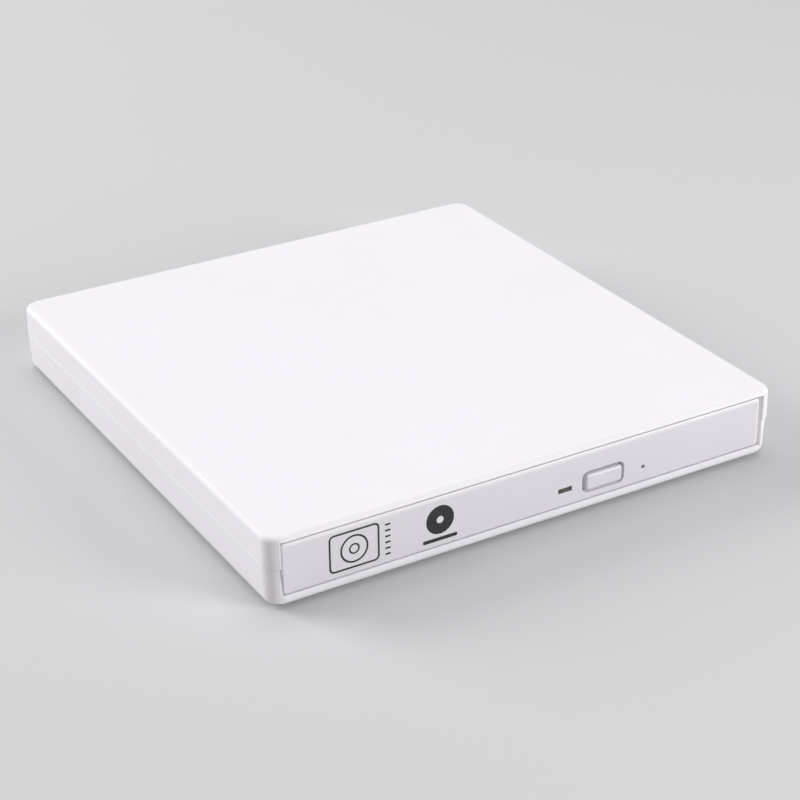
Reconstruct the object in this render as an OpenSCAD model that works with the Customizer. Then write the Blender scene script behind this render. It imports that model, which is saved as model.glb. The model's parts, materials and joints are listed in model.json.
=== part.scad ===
// External slim disc drive, tray shut.
// Millimetres. Origin under the middle of the case, Z up, bezel toward -Y, +X to the right from the front.
// The disc sets the tray, the tray sets the chassis, and the chassis sets the case around it.

/* [Disc and tray] */
// Radius of the disc that the tray carries
disc_r = 60; // [50:0.5:70]
// Space around the disc in its recess
disc_gap = 0.5; // [0.3:0.1:1]
// Width of the tray's rim beside the disc
side_rim = 1.8; // [1.2:0.1:3]
// Width of the tray's rim in front of the disc
front_rim = 2.45; // [2:0.05:4]
// Width of the tray's rim behind the disc
rear_rim = 1.55; // [1.2:0.05:3]
// Depth of the disc's recess
recess_depth = 2; // [1.6:0.1:3]
// Thickness of the recess's floor
tray_skin = 1.4; // [1.2:0.1:2]
// Radius of the small disc's recess
small_r = 40.5; // [40:0.1:42]
// Depth of the small disc's recess below the large one
small_depth = 0.5; // [0.3:0.1:0.8]
// Height of the room under the recess's floor
deep_room = 5; // [4.8:0.1:6]
// Thickness of the tray's walls
tray_wall = 1.5; // [1.2:0.1:2]
// Depth of the room behind the tray's deep part
board_room = 29; // [27:0.5:36]
// Width of the open channel for the latch's post
channel_w = 10.3; // [9:0.1:12]
// Thickness of the tray's under plate
under_t = 0.4; // [0.3:0.05:0.6]

/* [Chassis] */
// Sheet thickness of the chassis base
base_t = 0.6; // [0.5:0.05:0.8]
// Sheet thickness of the chassis cover
cover_t = 0.5; // [0.4:0.05:0.7]
// Height of the ribbon's room between the chassis floor and the tray
ribbon_room = 1.6; // [1.4:0.1:2.4]
// Space between the tray's rim and the cover
rim_drop = 1.2; // [1.1:0.1:2]
// Space between the tray's sides and the chassis walls
tray_gap = 0.5; // [0.3:0.05:1]
// Space behind the shut tray
tray_rear = 2.45; // [2:0.05:4]
// Shank radius of the chassis screws
m2_r = 1; // [0.8:0.05:1.2]
// Head radius of the chassis screws
m2_head_r = 1.7; // [1.5:0.1:2]
// Head height of the chassis screws
m2_head_h = 0.8; // [0.6:0.1:1]
// Shank length of the chassis screws
m2_l = 2.6; // [2:0.1:2.8]

/* [Case] */
// Width of the shells' columns beside the bezel's opening
column = 3; // [2.6:0.1:5]
// Depth of the room between the drive and the rear wall
rear_room = 10.45; // [10:0.05:16]
// Plan radius of the case's upright corners
corner_r = 4.4; // [3:0.1:6]
// Radius along the upper shell's top edge
top_edge_r = 1.5; // [0.8:0.1:2]
// Radius along the lower shell's bottom edge
bottom_edge_r = 2; // [0.8:0.1:2.4]
// Thickness of the side, front and rear walls
wall = 1.8; // [1.5:0.1:2.2]
// Thickness of the upper shell's top
top_wall = 1.2; // [1:0.1:2]
// Thickness of the lower shell's floor
floor_wall = 1.5; // [1.2:0.1:1.8]
// Height of the parting line above the lower shell's underside
split_h = 9.6; // [8.6:0.1:10.4]
// Inward lean of the upper shell's sides over their height
upper_draft = 0.1; // [0:0.05:0.3]
// Inward lean of the lower shell's sides over their height
lower_draft = 0.3; // [0:0.05:0.5]
// Step of the lower shell inside the upper one at the parting line
lower_step = 0.25; // [0:0.05:0.3]
// Width of the V groove's chamfers along the parting line
groove = 0.25; // [0.1:0.05:0.4]
// Height of the lower shell's lip under the bezel
lower_lip = 2.8; // [2.4:0.1:3.6]
// Height of the lap tongue that closes the parting line
lap_h = 1; // [0.6:0.1:1.4]
// Thickness of the lap tongue
lap_t = 0.7; // [0.5:0.1:0.8]

/* [Feet and case screws] */
// Radius of a rubber foot
foot_r = 4.5; // [3:0.1:6]
// Height of the feet below the shell
foot_proud = 0.7; // [0.4:0.1:1.4]
// Depth of a foot's seat in the shell's floor
foot_seat = 0.5; // [0.3:0.1:0.7]
// Distance from the case's sides to a foot's middle
foot_inset = 15; // [12:0.5:24]
// Radius of the two screw bosses in the rear corners
boss_r = 2.8; // [2.6:0.1:3.4]
// Distance from the cavity's walls to a boss's middle
boss_inset = 4.2; // [3.8:0.1:4.8]
// Shank radius of a case screw
case_screw_r = 1; // [0.8:0.05:1.2]
// Head radius of a case screw
case_head_r = 1.9; // [1.6:0.1:2.2]
// Depth of the screw heads' counterbores
counterbore = 2.4; // [2:0.1:4]

/* [Bezel] */
// Width that the bezel has over the chassis
bezel_over = 0.5; // [0.2:0.1:1]
// Thickness of the bezel's plate
bezel_t = 1.6; // [1.4:0.1:2]
// Depth of the bezel's rim behind its plate
bezel_skirt = 1.95; // [1.8:0.05:2.4]
// Corner radius of the bezel seen from the front
bezel_corner_r = 0.9; // [0.6:0.1:1.5]
// Radius along the bezel's front edges
bezel_edge_r = 0.5; // [0.2:0.1:0.8]
// Depth of the bezel's face behind the shells' front
bezel_recess = 0.5; // [0.5:0.05:1]
// Space between the case opening and the bezel's left end
side_gap_left = 0.55; // [0.4:0.05:1.2]
// Space between the case opening and the bezel's right end
side_gap_right = 1.95; // [0.4:0.05:2.4]
// Space between the case opening and the bezel's upper and lower edges
bezel_gap = 0.35; // [0.3:0.05:0.5]
// Reach of the bezel's plate below the chassis
bezel_drop = 0.2; // [0:0.05:0.25]
// Eject button's middle, to the right of the drive's middle
button_x = 19.2; // [16:0.2:21]
// Eject button's middle above the drive's base
button_z = 4.25; // [4.1:0.05:4.6]
// Width of the eject button
button_w = 10.3; // [8:0.1:11.4]
// Height of the eject button
button_h = 4.2; // [3.6:0.1:4.6]
// Corner radius of the eject button
button_r = 0.9; // [0.8:0.1:1.4]
// Radius along the eject button's front edges
button_edge_r = 0.75; // [0.4:0.05:0.8]
// Space around the eject button
button_gap = 0.3; // [0.2:0.05:0.5]
// Radius rolled over the edge of the button's opening
pocket_r = 0.45; // [0.2:0.05:0.5]
// Height of the button's face in front of the bezel
button_proud = 0.45; // [0.3:0.05:0.5]
// Stroke of the eject button
button_travel = 0.5; // [0.3:0.05:0.6]
// Activity window's middle, to the right of the drive's middle
led_x = 8.5; // [7:0.1:9.4]
// Activity window's middle above the drive's base
led_z = 4; // [3.9:0.05:4.4]
// Width of the activity window
led_w = 3.75; // [3:0.05:4.2]
// Height of the activity window
led_h = 1.25; // [0.8:0.05:1.4]
// Emergency eject hole, to the right of the drive's middle
pin_x = 30.6; // [29.8:0.1:33]
// Emergency eject hole above the drive's base
pin_z = 3.75; // [3.6:0.05:4.2]
// Radius of the emergency eject hole
pin_r = 0.5; // [0.4:0.05:0.7]

/* [Slide rails] */
// Space behind the guides and rails in the chassis
guide_short = 9.6; // [6:0.1:20]
// Thickness of a guide's web
guide_web = 1.2; // [1:0.05:1.4]
// Thickness of a guide's flanges
guide_flange = 1; // [0.8:0.05:1.1]
// Height of a guide
guide_h = 5.6; // [5.2:0.05:6]
// Drop of a guide's underside below the tray's walls
guide_drop = 1.2; // [1:0.1:1.4]
// Reach of a guide's flanges from its web
guide_reach = 1.8; // [1.4:0.1:2]
// Sheet thickness of a rail
rail_t = 0.5; // [0.4:0.05:0.6]
// Reach of a rail's flanges from its web
rail_reach = 1.5; // [1.2:0.1:1.8]
// Running space between a guide and its rail
rail_gap = 0.1; // [0.05:0.05:0.15]
// Running space between a rail and the tray's tongue
tongue_gap = 0.15; // [0.1:0.05:0.2]

/* [Spindle] */
// Radius of the disc's spigot
spigot_r = 7.45; // [7.2:0.01:7.48]
// Radius of the turntable
turntable_r = 14; // [12.5:0.1:15]
// Radius of the motor's rotor
rotor_r = 11; // [10:0.1:11.6]
// Radius of the motor's shaft
shaft_r = 1.2; // [1:0.05:1.4]
// Running space of the shaft in its sleeve
shaft_gap = 0.05; // [0.03:0.01:0.1]
// Width of a disc claw
claw_w = 2.7; // [2:0.1:3]
// Reach of a claw past the spigot
claw_proud = 0.35; // [0.2:0.05:0.5]

/* [Sled] */
// Direction in which the pickup moves outward, from +X
sled_angle = 225; // [224:0.5:226]
// Distance from the turntable's edge to the pickup's innermost place
lens_start = 10; // [9.8:0.1:12]
// Space between the sled's frame and the tray's side wall
sled_wall = 0.43; // [0.4:0.01:1]
// Radius of the guide rods
rod_r = 1; // [0.8:0.05:1.1]
// Distance of each rod from the sled's middle line
rod_v = 12.5; // [12:0.1:13]
// Height of the rods' axes above the tray's floor
rod_up = 2.4; // [2.4:0.05:2.6]
// Distance of the lead screw from the sled's middle line
screw_v = 17.5; // [17:0.1:19]
// Height of the lead screw's axis above the tray's floor
screw_up = 3.1; // [3:0.05:3.2]
// Radius of the lead screw
screw_r = 1.2; // [1:0.05:1.25]
// Running space of the sled on its rods and screw
sled_gap = 0.06; // [0.03:0.01:0.08]

/* [Latch] */
// Distance of the latch's pivot inside the under plate's right edge
latch_in = 3.7; // [3.5:0.1:4]
// Distance of the latch's pivot in front of the spindle
latch_front = 37; // [36:0.1:38]
// Swing of the latch from released to engaged
latch_swing = 12; // [10:0.5:12]
// Thickness of the latch lever
latch_t = 1.2; // [1:0.1:1.3]
// Radius of the latch's pivot stud
pivot_r = 1; // [0.8:0.05:1.2]
// Distance of the chassis post outside the under plate's right edge
post_out = 5.3; // [5.1:0.1:5.6]
// Radius of the chassis post
post_r = 1; // [0.8:0.05:1.1]

/* [Rear sockets] */
// Distance from the bridge plug's end to the data socket's middle
usb_space = 13.8; // [13.6:0.1:16]
// Distance between the middles of the two sockets
jack_space = 11; // [10:0.1:14]
// Width of the data socket's shell
usb_w = 7.7; // [7:0.1:8]
// Height of the data socket's shell
usb_h = 4; // [3.6:0.1:4.2]
// Depth of the data socket's shell
usb_d = 9; // [8:0.1:9.4]
// Bore radius of the power socket
jack_bore_r = 1.8; // [1.6:0.05:2]
// Radius of the power socket's nose
jack_nose_r = 2.3; // [2.1:0.05:2.5]
// Width of the power socket's body
jack_w = 6.4; // [5.6:0.1:7]
// Thickness of the circuit boards
board_t = 1; // [0.8:0.1:1.2]

/* [Hidden] */
$fn = 48;
// Facets of a hull's turned corners
corner_fn = 32;
// Steps along an edge's arc
arc_steps = 9;
// Overshoot of a cut past a face
eps = 0.5;
// Free space between parts that are pushed together
fit = 0.02;
// Free space around a loose part
loose = 0.1;

// Plan sizes from the disc outward
recess_r = disc_r + disc_gap;
tray_w = 2 * (recess_r + side_rim);
tray_d = front_rim + 2 * recess_r + rear_rim;
base_in = tray_w / 2 + tray_gap;
base_out = base_in + base_t;
chassis_w = 2 * (base_out + loose + cover_t);
chassis_d = tray_d - bezel_skirt + tray_rear + base_t;
bezel_w = chassis_w + bezel_over;
mouth_w = bezel_w + side_gap_left + side_gap_right;
case_w = mouth_w + 2 * column;
case_d = bezel_recess + bezel_t + bezel_skirt + chassis_d + rear_room + wall;

// Heights inside the drive, from its underside up
under_z = base_t + ribbon_room;
tray_z = under_z + under_t;
skin_z = tray_z + deep_room;
recess_z = skin_z + tray_skin;
rim_z = recess_z + recess_depth;
cover_z = rim_z + rim_drop;
drive_h = cover_z + cover_t;

// Case
case_h = lower_lip + drive_h + 2 * bezel_gap + top_wall;
z_bot = foot_proud;
z_top = z_bot + case_h;
z_split = z_bot + split_h;
floor_z = z_bot + floor_wall;
mouth_z0 = z_bot + lower_lip;
drive_z = mouth_z0 + bezel_gap;
mouth_z1 = drive_z + drive_h + bezel_gap;
drive_x = (side_gap_left - side_gap_right) / 2;
front_y = -case_d / 2;
back_y = case_d / 2;
cavity_x = case_w / 2 - wall;
cavity_y = case_d / 2 - wall;
chassis_y = front_y + bezel_recess + bezel_t + bezel_skirt;
rear_y = chassis_y + chassis_d;
boss_x = cavity_x - boss_inset;
boss_y = cavity_y - boss_inset;
foot_x = case_w / 2 - foot_inset;
foot_y = case_d / 2 - foot_inset;
rib_t = 1.2;
rib_places = [0.12, 0.5, 0.86];

// Lines inside the drive, from the chassis's front edge and middle
dish_drop = 0.3;
dish_r = disc_r - 5;
plate_back = -bezel_skirt;
bezel_face = plate_back - bezel_t;
skirt_back = -0.25;
tray_front = plate_back;
tray_back = tray_front + tray_d;
disc_y = tray_front + front_rim + recess_r;
latch_y = disc_y - latch_front;
deep_y = tray_back - board_room;
slide_y = 0.5;
guide_l = chassis_d - guide_short - slide_y;
guide_z = tray_z - guide_drop;
guide_in = base_in - guide_web;
rail_out = guide_in - rail_gap;
rail_in = rail_out - rail_t;
rail_z0 = guide_z + guide_flange + rail_gap;
rail_z1 = guide_z + guide_h - guide_flange - rail_gap;
tongue_out = rail_in - tongue_gap;
tongue_z0 = rail_z0 + rail_t + tongue_gap;
tongue_z1 = rail_z1 - rail_t - tongue_gap;
side_out = rail_in - rail_reach - 1.5;
side_in = side_out - tray_wall;
under_right = side_in - channel_w;
rib_in = under_right - tray_wall;
rib_y = latch_y + 2;
notch_r = 9;
notch_at = recess_r * 0.76;

// Spindle and sled
lens_in = turntable_r + lens_start;
block_v = 1.8;
rod_u0 = rotor_r + 1.4;
rod_u1 = (side_in - sled_wall - (rod_v + block_v) * abs(sin(sled_angle))) / abs(cos(sled_angle)) - 0.2;
holder_u = rod_u1 - 2.8;
sled_travel = holder_u - lens_in - 4;
rod_z = tray_z + rod_up;
screw_z = tray_z + screw_up;
frame_z0 = tray_z + 0.3;
frame_z1 = frame_z0 + 1;
stator_t = 0.4;
rotor_z1 = skin_z - 0.1;
hub_z = rotor_z1 + 0.8;
table_z = recess_z + 0.4;
pad_t = 0.4;
pad_in = spigot_r + 2;
spigot_top = table_z + 1.3;
hub_top = table_z + 2.2;
pickup_z0 = tray_z + 0.5;
pickup_z1 = skin_z - 0.2;
holder_z0 = pickup_z1 + 0.3;
holder_z1 = holder_z0 + 0.6;
lens_r = 2;
dome_r = 4;
shield_z = recess_z - 0.8;
shield_t = 0.4;
aperture_r = turntable_r + 2.5;
aperture_v = rod_v + 3;
aperture_u = lens_in + sled_travel + 10;
frame_u0 = -aperture_r - 1.5;
frame_u1 = aperture_u + 1.5;
frame_v = screw_v + 4.5;
body_in = 9;
body_out = 4.5;
body_v = rod_v - rod_r - 1.3;
ear_z = tray_z + 1.6;
ear_t = 0.8;
damper_z0 = ear_z - 0.8;
damper_z1 = ear_z + ear_t + 0.8;
damper_r = 3;
damper_neck = m2_r + 1;
damper_spots = [[frame_u0 - 7, 0], [lens_in + 14, -frame_v - 5], [lens_in + 12, frame_v + 6]];

// Latch and solenoid
latch_x = under_right - latch_in;
latch_z = tray_z + 0.4;
post_x = under_right + post_out;
post_y = latch_y - 16;
hook_x = post_x - latch_x + 0.9;
hook_y = post_y - latch_y + 2;
tail_x = pin_x - latch_x;
tail_y = -latch_y + 3.6;
crank = 8;
crank_x = -1.5;
crank_pin_r = 0.6;
crank_rest_x = latch_x + crank_x * cos(latch_swing) + crank * sin(latch_swing);
plunger_y = latch_y + crank;
plunger_z = tray_z + 2.3;
plunger_r = 1.2;
solenoid_x0 = latch_x - 28.5;
solenoid_x1 = latch_x - 8.5;
solenoid_w = 10;

// Boards, connectors, ribbon and ejector
main_z = base_t + 1.6;
main_top = main_z + board_t;
main_y0 = deep_y + 6;
main_y1 = chassis_d - base_t - 0.5;
main_x = side_in - 6.5;
main_screws = [[-main_x + 6, main_y0 + 4], [main_x - 6, main_y0 + 4], [0, main_y1 - 4]];
socket_w = 36;
socket_x = main_x - socket_w / 2 - 4;
socket_h = 4;
socket_d = 8;
plug_w = 31;
plug_h = 3.4;
plug_nose_h = 2;
plug_reach = 4.4;
bridge_z = drive_z + main_top + socket_h / 2 - plug_h / 2 - board_t;
bridge_top = bridge_z + board_t;
bridge_y0 = rear_y + cover_t + 1;
bridge_y1 = cavity_y - 0.5;
plug_x = drive_x + socket_x;
usb_x = plug_x - plug_w / 2 - usb_space;
jack_x = usb_x - jack_space;
bridge_x0 = jack_x - jack_w / 2 - 1.8;
bridge_x1 = plug_x + plug_w / 2 + 6.2;
bridge_mid = (bridge_y0 + bridge_y1) / 2;
bridge_screws = [[plug_x - plug_w / 2 - 4.8, bridge_mid], [plug_x + plug_w / 2 + 3.2, bridge_mid]];
socket_back = back_y - 0.3;
jack_z = bridge_top + jack_nose_r + loose;
cover_screw_x = chassis_w / 2 - 19;
cover_screw_z = cover_z - 1.8;
tray_screw_r = 0.8;
tray_head_r = 1.5;
tray_screws = [
    for (x = [-side_in + 3.5, rib_in - 2.7], y = [tray_front + 5, deep_y - 4]) [x, y]
];
ribbon_x0 = -20;
ribbon_x1 = 6;
ribbon_t = 0.2;
ribbon_front = 12;
ribbon_end = deep_y - 17;
ejector_x = -side_in + 3.7;
ejector_z = base_t + 3.4;
ejector_r = 1.2;
ejector_bore = 1.7;
ejector_y0 = main_y0 + 4;
ejector_y1 = chassis_d - base_t - 1;
button_back = plate_back + loose;
flange_t = 0.7;
button_lip = 0.8;
switch_y = 2.6;
stem_y = 1.2;

// Block between two corners
module block(x, y, z) {
    translate([x[0], y[0], z[0]])
        cube([x[1] - x[0], y[1] - y[0], z[1] - z[0]]);
}

// Upright round
module post(x, y, z, r) {
    translate([x, y, z[0]])
        cylinder(h = z[1] - z[0], r = r);
}

// Round that lies along X
module bar_x(x, y, z, r) {
    translate([x[0], y, z])
        rotate([0, 90, 0])
            cylinder(h = x[1] - x[0], r = r);
}

// Round that lies along Y
module bar_y(x, y, z, r) {
    translate([x, y[0], z])
        rotate([-90, 0, 0])
            cylinder(h = y[1] - y[0], r = r);
}

// Rectangle with round corners, about the origin
module round_rect(w, d, r) {
    square([w - 2 * r, d], center = true);
    square([w, d - 2 * r], center = true);
    for (sx = [-1, 1], sy = [-1, 1])
        translate([sx * (w / 2 - r), sy * (d / 2 - r)])
            circle(r = r);
}

// Body stretched over four turned corners, from a profile of radius and height
module soft_box(w, d, r, profile) {
    hull()
        for (sx = [-1, 1], sy = [-1, 1])
            translate([sx * (w / 2 - r), sy * (d / 2 - r), 0])
                rotate_extrude($fn = corner_fn)
                    polygon(profile);
}

// Slab in the XZ plane with a round front edge, its back on y = 0 and its face toward -Y
module front_slab(w, h, t, r, edge) {
    rotate([90, 0, 0])
        soft_box(w, h, r, concat([[0, 0], [r, 0]], arc(r - edge, t - edge, edge, 0, 90), [[0, t]]));
}

// Drive's own frame: middle, front edge of the chassis, underside
module in_drive() {
    translate([drive_x, chassis_y, drive_z])
        children();
}

// Sled's frame: spindle axis, X outward along the sled's path
module in_traverse() {
    in_drive()
        translate([0, disc_y, 0])
            rotate(sled_angle)
                children();
}

// Right-hand piece, or its mirror on the left
module on_side(side) {
    in_drive()
        mirror([side < 0 ? 1 : 0, 0, 0])
            children();
}

function arc(cx, cz, r, from, to) =
    [
        for (i = [0 : arc_steps])
            let (a = from + (to - from) * i / arc_steps)
                [cx + r * cos(a), cz + r * sin(a)]
    ];

upper_profile = concat(
    [[0, z_split], [corner_r - groove, z_split], [corner_r, z_split + groove]],
    arc(corner_r - upper_draft - top_edge_r, z_top - top_edge_r, top_edge_r, 0, 90),
    [[0, z_top]]
);

lower_profile = concat(
    [[0, z_bot]],
    arc(corner_r - lower_step - lower_draft - bottom_edge_r, z_bot + bottom_edge_r, bottom_edge_r, -90, 0),
    [[corner_r - lower_step, z_split - groove], [corner_r - lower_step - groove, z_split], [0, z_split]]
);

// Opening that the drive's bezel fills
module mouth() {
    block([-mouth_w / 2, mouth_w / 2], [front_y - eps, front_y + wall + eps], [mouth_z0, mouth_z1]);
}

// Openings of the two rear sockets
module rear_ports() {
    block(
        [usb_x - usb_w / 2 - 0.3, usb_x + usb_w / 2 + 0.3],
        [cavity_y - eps, back_y + eps],
        [bridge_top - 0.3, bridge_top + usb_h + 0.3]
    );
    bar_y(jack_x, [cavity_y - eps, back_y + eps], jack_z, jack_nose_r + 0.3);
}

// Inside of the shells, between two heights and wider by a margin
module cavity(z, more) {
    translate([0, 0, z[0]])
        linear_extrude(z[1] - z[0])
            round_rect(2 * (cavity_x + more), 2 * (cavity_y + more), corner_r - wall + more);
}

// Band of the lap along the parting line, ending behind the front wall
module lap(z, more) {
    difference() {
        cavity(z, more);
        block([-case_w, case_w], [front_y - eps, front_y + 3 * wall + lap_t - more], [z_bot, z_top]);
    }
}

// Ribs of the lower shell under and beside the drive, at one depth
module drive_ribs(y) {
    reach = chassis_w / 2;
    z = [floor_z - eps, z_split - 1];
    block([drive_x - reach + 8, drive_x + reach - 8], [y, y + rib_t], [floor_z - eps, drive_z]);
    block([-cavity_x - eps, drive_x - reach - 0.2], [y, y + rib_t], z);
    block([drive_x + reach + 0.2, cavity_x + eps], [y, y + rib_t], z);
}

// Lower half of the case: floor, walls, lap tongue, ribs under and beside the drive, bosses, foot seats
module lower_shell() {
    color("whitesmoke")
        difference() {
            union() {
                difference() {
                    soft_box(case_w, case_d, corner_r, lower_profile);
                    cavity([floor_z, z_split + eps], 0);
                }
                difference() {
                    lap([z_split - 1, z_split + lap_h], lap_t);
                    cavity([z_split - 2, z_split + lap_h + eps], 0);
                    block([jack_x - 6, usb_x + 8], [cavity_y - eps, back_y + eps], [z_bot, z_top]);
                }
                for (part = rib_places)
                    drive_ribs(chassis_y + part * chassis_d);
                for (sx = [-1, 1])
                    post(sx * boss_x, boss_y, [floor_z - eps, z_split], boss_r);
                for (p = bridge_screws)
                    post(p[0], p[1], [floor_z - eps, bridge_z], 2.2);
            }
            mouth();
            rear_ports();
            for (sx = [-1, 1]) {
                post(sx * boss_x, boss_y, [z_bot - eps, z_bot + counterbore], case_head_r + 0.3);
                post(sx * boss_x, boss_y, [z_bot, z_split + eps], case_screw_r + loose);
            }
            for (p = bridge_screws)
                post(p[0], p[1], [floor_z, bridge_z + eps], m2_r + fit);
            for (sx = [-1, 1], sy = [-1, 1])
                post(sx * foot_x, sy * foot_y, [z_bot - eps, z_bot + foot_seat], foot_r + loose);
        }
}

// Upper half of the case: top, walls, lap groove, hold-down ribs and the bosses that take the screws
module upper_shell() {
    color("white")
        difference() {
            union() {
                difference() {
                    soft_box(case_w, case_d, corner_r, upper_profile);
                    cavity([z_split - eps, mouth_z1], 0);
                    lap([z_split - eps, z_split + lap_h + loose], lap_t + loose);
                }
                for (part = rib_places)
                    block(
                        [-chassis_w / 2 + 14, chassis_w / 2 - 14],
                        [chassis_y + part * chassis_d, chassis_y + part * chassis_d + rib_t],
                        [drive_z + drive_h, mouth_z1 + 0.4]
                    );
                for (sx = [-1, 1])
                    post(sx * boss_x, boss_y, [z_split, mouth_z1 + 0.4], boss_r);
            }
            mouth();
            rear_ports();
            for (sx = [-1, 1])
                post(sx * boss_x, boss_y, [z_split - eps, mouth_z1 - 0.4], case_screw_r + fit);
        }
}

// Two screws that hold the halves together from below
module case_screws() {
    color("dimgray")
        for (sx = [-1, 1])
            difference() {
                union() {
                    post(sx * boss_x, boss_y, [z_bot + counterbore - 1.3, z_bot + counterbore], case_head_r);
                    post(sx * boss_x, boss_y, [z_bot + counterbore - 0.2, mouth_z1 - 1], case_screw_r);
                }
                cross_recess(sx * boss_x, boss_y, z_bot + counterbore - 1.3);
            }
}

// Cross slot in a screw head, around the head's face
module cross_recess(x, y, z) {
    block([x - 0.95, x + 0.95], [y - 0.2, y + 0.2], [z - 0.5, z + 0.5]);
    block([x - 0.2, x + 0.2], [y - 0.95, y + 0.95], [z - 0.5, z + 0.5]);
}

// Four rubber feet in their seats
module rubber_feet() {
    color("darkgray")
        for (sx = [-1, 1], sy = [-1, 1])
            translate([sx * foot_x, sy * foot_y, 0]) {
                cylinder(h = 0.3, r1 = foot_r - 0.3, r2 = foot_r);
                translate([0, 0, 0.3])
                    cylinder(h = z_bot + foot_seat - 0.3, r = foot_r);
            }
}

// Board that joins the drive's connector to the rear sockets
module bridge_board() {
    color("darkgreen")
        difference() {
            block([bridge_x0, bridge_x1], [bridge_y0, bridge_y1], [bridge_z, bridge_top]);
            for (p = bridge_screws)
                post(p[0], p[1], [bridge_z - eps, bridge_top + eps], m2_r + loose);
        }
}

// Plug on the bridge board that goes into the drive
module bridge_plug() {
    x = plug_x;
    z = bridge_top + plug_h / 2;
    color("dimgray")
        difference() {
            union() {
                block(
                    [x - plug_w / 2, x + plug_w / 2],
                    [bridge_y0, bridge_y0 + 4],
                    [bridge_top, bridge_top + plug_h]
                );
                block(
                    [x - plug_w / 2 + 1, x + plug_w / 2 - 1],
                    [rear_y - plug_reach, bridge_y0 + 1],
                    [z - plug_nose_h / 2, z + plug_nose_h / 2]
                );
            }
            block(
                [x - plug_w / 2 + 1.9, x + plug_w / 2 - 1.9],
                [rear_y - plug_reach - eps, bridge_y0 + 1],
                [z - 0.5, z + 0.5]
            );
        }
}

// Bridge controller under its board
module bridge_chip() {
    reach = 3.5;
    color("black")
        block(
            [plug_x - reach, plug_x + reach],
            [bridge_mid - reach, bridge_mid + reach],
            [bridge_z - 1, bridge_z]
        );
}

// Outline of the data socket in width and height, moved inward
function socket_outline(inset) = [
    [-usb_w / 2 + inset, usb_h - inset],
    [-usb_w / 2 + inset, usb_h * 0.45],
    [-usb_w / 2 + 0.9 + inset, inset],
    [usb_w / 2 - 0.9 - inset, inset],
    [usb_w / 2 - inset, usb_h * 0.45],
    [usb_w / 2 - inset, usb_h - inset]
];

// Data socket's outline drawn along Y, between two depths behind the rear end
module socket_form(inset, y) {
    translate([usb_x, y[1], bridge_top])
        rotate([90, 0, 0])
            linear_extrude(y[1] - y[0])
                polygon(socket_outline(inset));
}

// Metal shell of the data socket
module usb_socket() {
    color("silver")
        difference() {
            socket_form(0, [socket_back - usb_d, socket_back]);
            socket_form(0.4, [socket_back - usb_d + 0.4, socket_back + eps]);
        }
}

// Insulator and tongue of the data socket
module usb_tongue() {
    color("black") {
        socket_form(0.4 + fit, [socket_back - usb_d + 0.4, socket_back - usb_d + 3]);
        block(
            [usb_x - 2.2, usb_x + 2.2],
            [socket_back - usb_d + 2.9, socket_back - 0.8],
            [bridge_top + usb_h * 0.5, bridge_top + usb_h * 0.5 + 1]
        );
    }
}

// Body of the power socket
module power_jack() {
    color("black")
        difference() {
            union() {
                block(
                    [jack_x - jack_w / 2, jack_x + jack_w / 2],
                    [socket_back - 8.5, cavity_y - 0.2],
                    [bridge_top, jack_z + jack_nose_r + 0.2]
                );
                bar_y(jack_x, [cavity_y - 1, socket_back], jack_z, jack_nose_r);
            }
            bar_y(jack_x, [socket_back - 7, socket_back + eps], jack_z, jack_bore_r);
        }
}

// Centre contact of the power socket
module power_jack_pin() {
    color("gold")
        bar_y(jack_x, [socket_back - 7, socket_back - 0.8], jack_z, 0.5);
}

// Bottom and walls of the drive's chassis
module chassis_base() {
    color("silver")
        in_drive()
            difference() {
                union() {
                    block([-base_out, base_out], [0, chassis_d], [0, base_t]);
                    for (sx = [-1, 1])
                        block(
                            [min(sx * base_in, sx * base_out), max(sx * base_in, sx * base_out)],
                            [0, chassis_d],
                            [0, cover_z]
                        );
                    block([-base_out, base_out], [chassis_d - base_t, chassis_d], [0, cover_z]);
                    for (x = [-base_in * 0.67, base_in * 0.48])
                        block([x, x + 4], [deep_y * 0.17, deep_y - 8], [base_t - 0.1, base_t + 0.3]);
                    for (p = main_screws)
                        post(p[0], p[1], [base_t - 0.1, main_z], 2.2);
                }
                block(
                    [socket_x - socket_w / 2 - 0.5, socket_x + socket_w / 2 + 0.5],
                    [chassis_d - base_t - eps, chassis_d + eps],
                    [main_z - 0.5, main_top + socket_h + 0.5]
                );
                for (p = main_screws)
                    post(p[0], p[1], [-eps, main_z + eps], m2_r + fit);
                for (sx = [-1, 1]) {
                    bar_y(
                        sx * cover_screw_x,
                        [chassis_d - base_t - eps, chassis_d + eps],
                        cover_screw_z,
                        m2_r + fit
                    );
                    for (y = [chassis_d * 0.13, chassis_d * 0.8])
                        bar_x([sx * base_out - 2, sx * base_out + 2], y, guide_z + guide_h + 1.4, 0.8);
                }
            }
}

// Lid of the drive's chassis, with its shallow round dish
module chassis_cover() {
    color("lightgray")
        in_drive()
            difference() {
                union() {
                    block([-chassis_w / 2, chassis_w / 2], [0, chassis_d + cover_t], [cover_z, drive_h]);
                    post(0, disc_y, [cover_z - dish_drop, cover_z + 0.1], dish_r);
                    for (sx = [-1, 1])
                        block(
                            [min(sx * (chassis_w / 2 - cover_t), sx * chassis_w / 2),
                                max(sx * (chassis_w / 2 - cover_t), sx * chassis_w / 2)],
                            [0, chassis_d],
                            [cover_z - 3, cover_z + 0.1]
                        );
                    block(
                        [-chassis_w / 2 + 6, chassis_w / 2 - 6],
                        [chassis_d, chassis_d + cover_t],
                        [cover_z - 3.6, cover_z + 0.1]
                    );
                }
                post(0, disc_y, [drive_h - dish_drop, drive_h + eps], dish_r - cover_t);
                for (sx = [-1, 1])
                    bar_y(
                        sx * cover_screw_x,
                        [chassis_d - eps, chassis_d + cover_t + eps],
                        cover_screw_z,
                        m2_r + loose
                    );
            }
}

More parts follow.
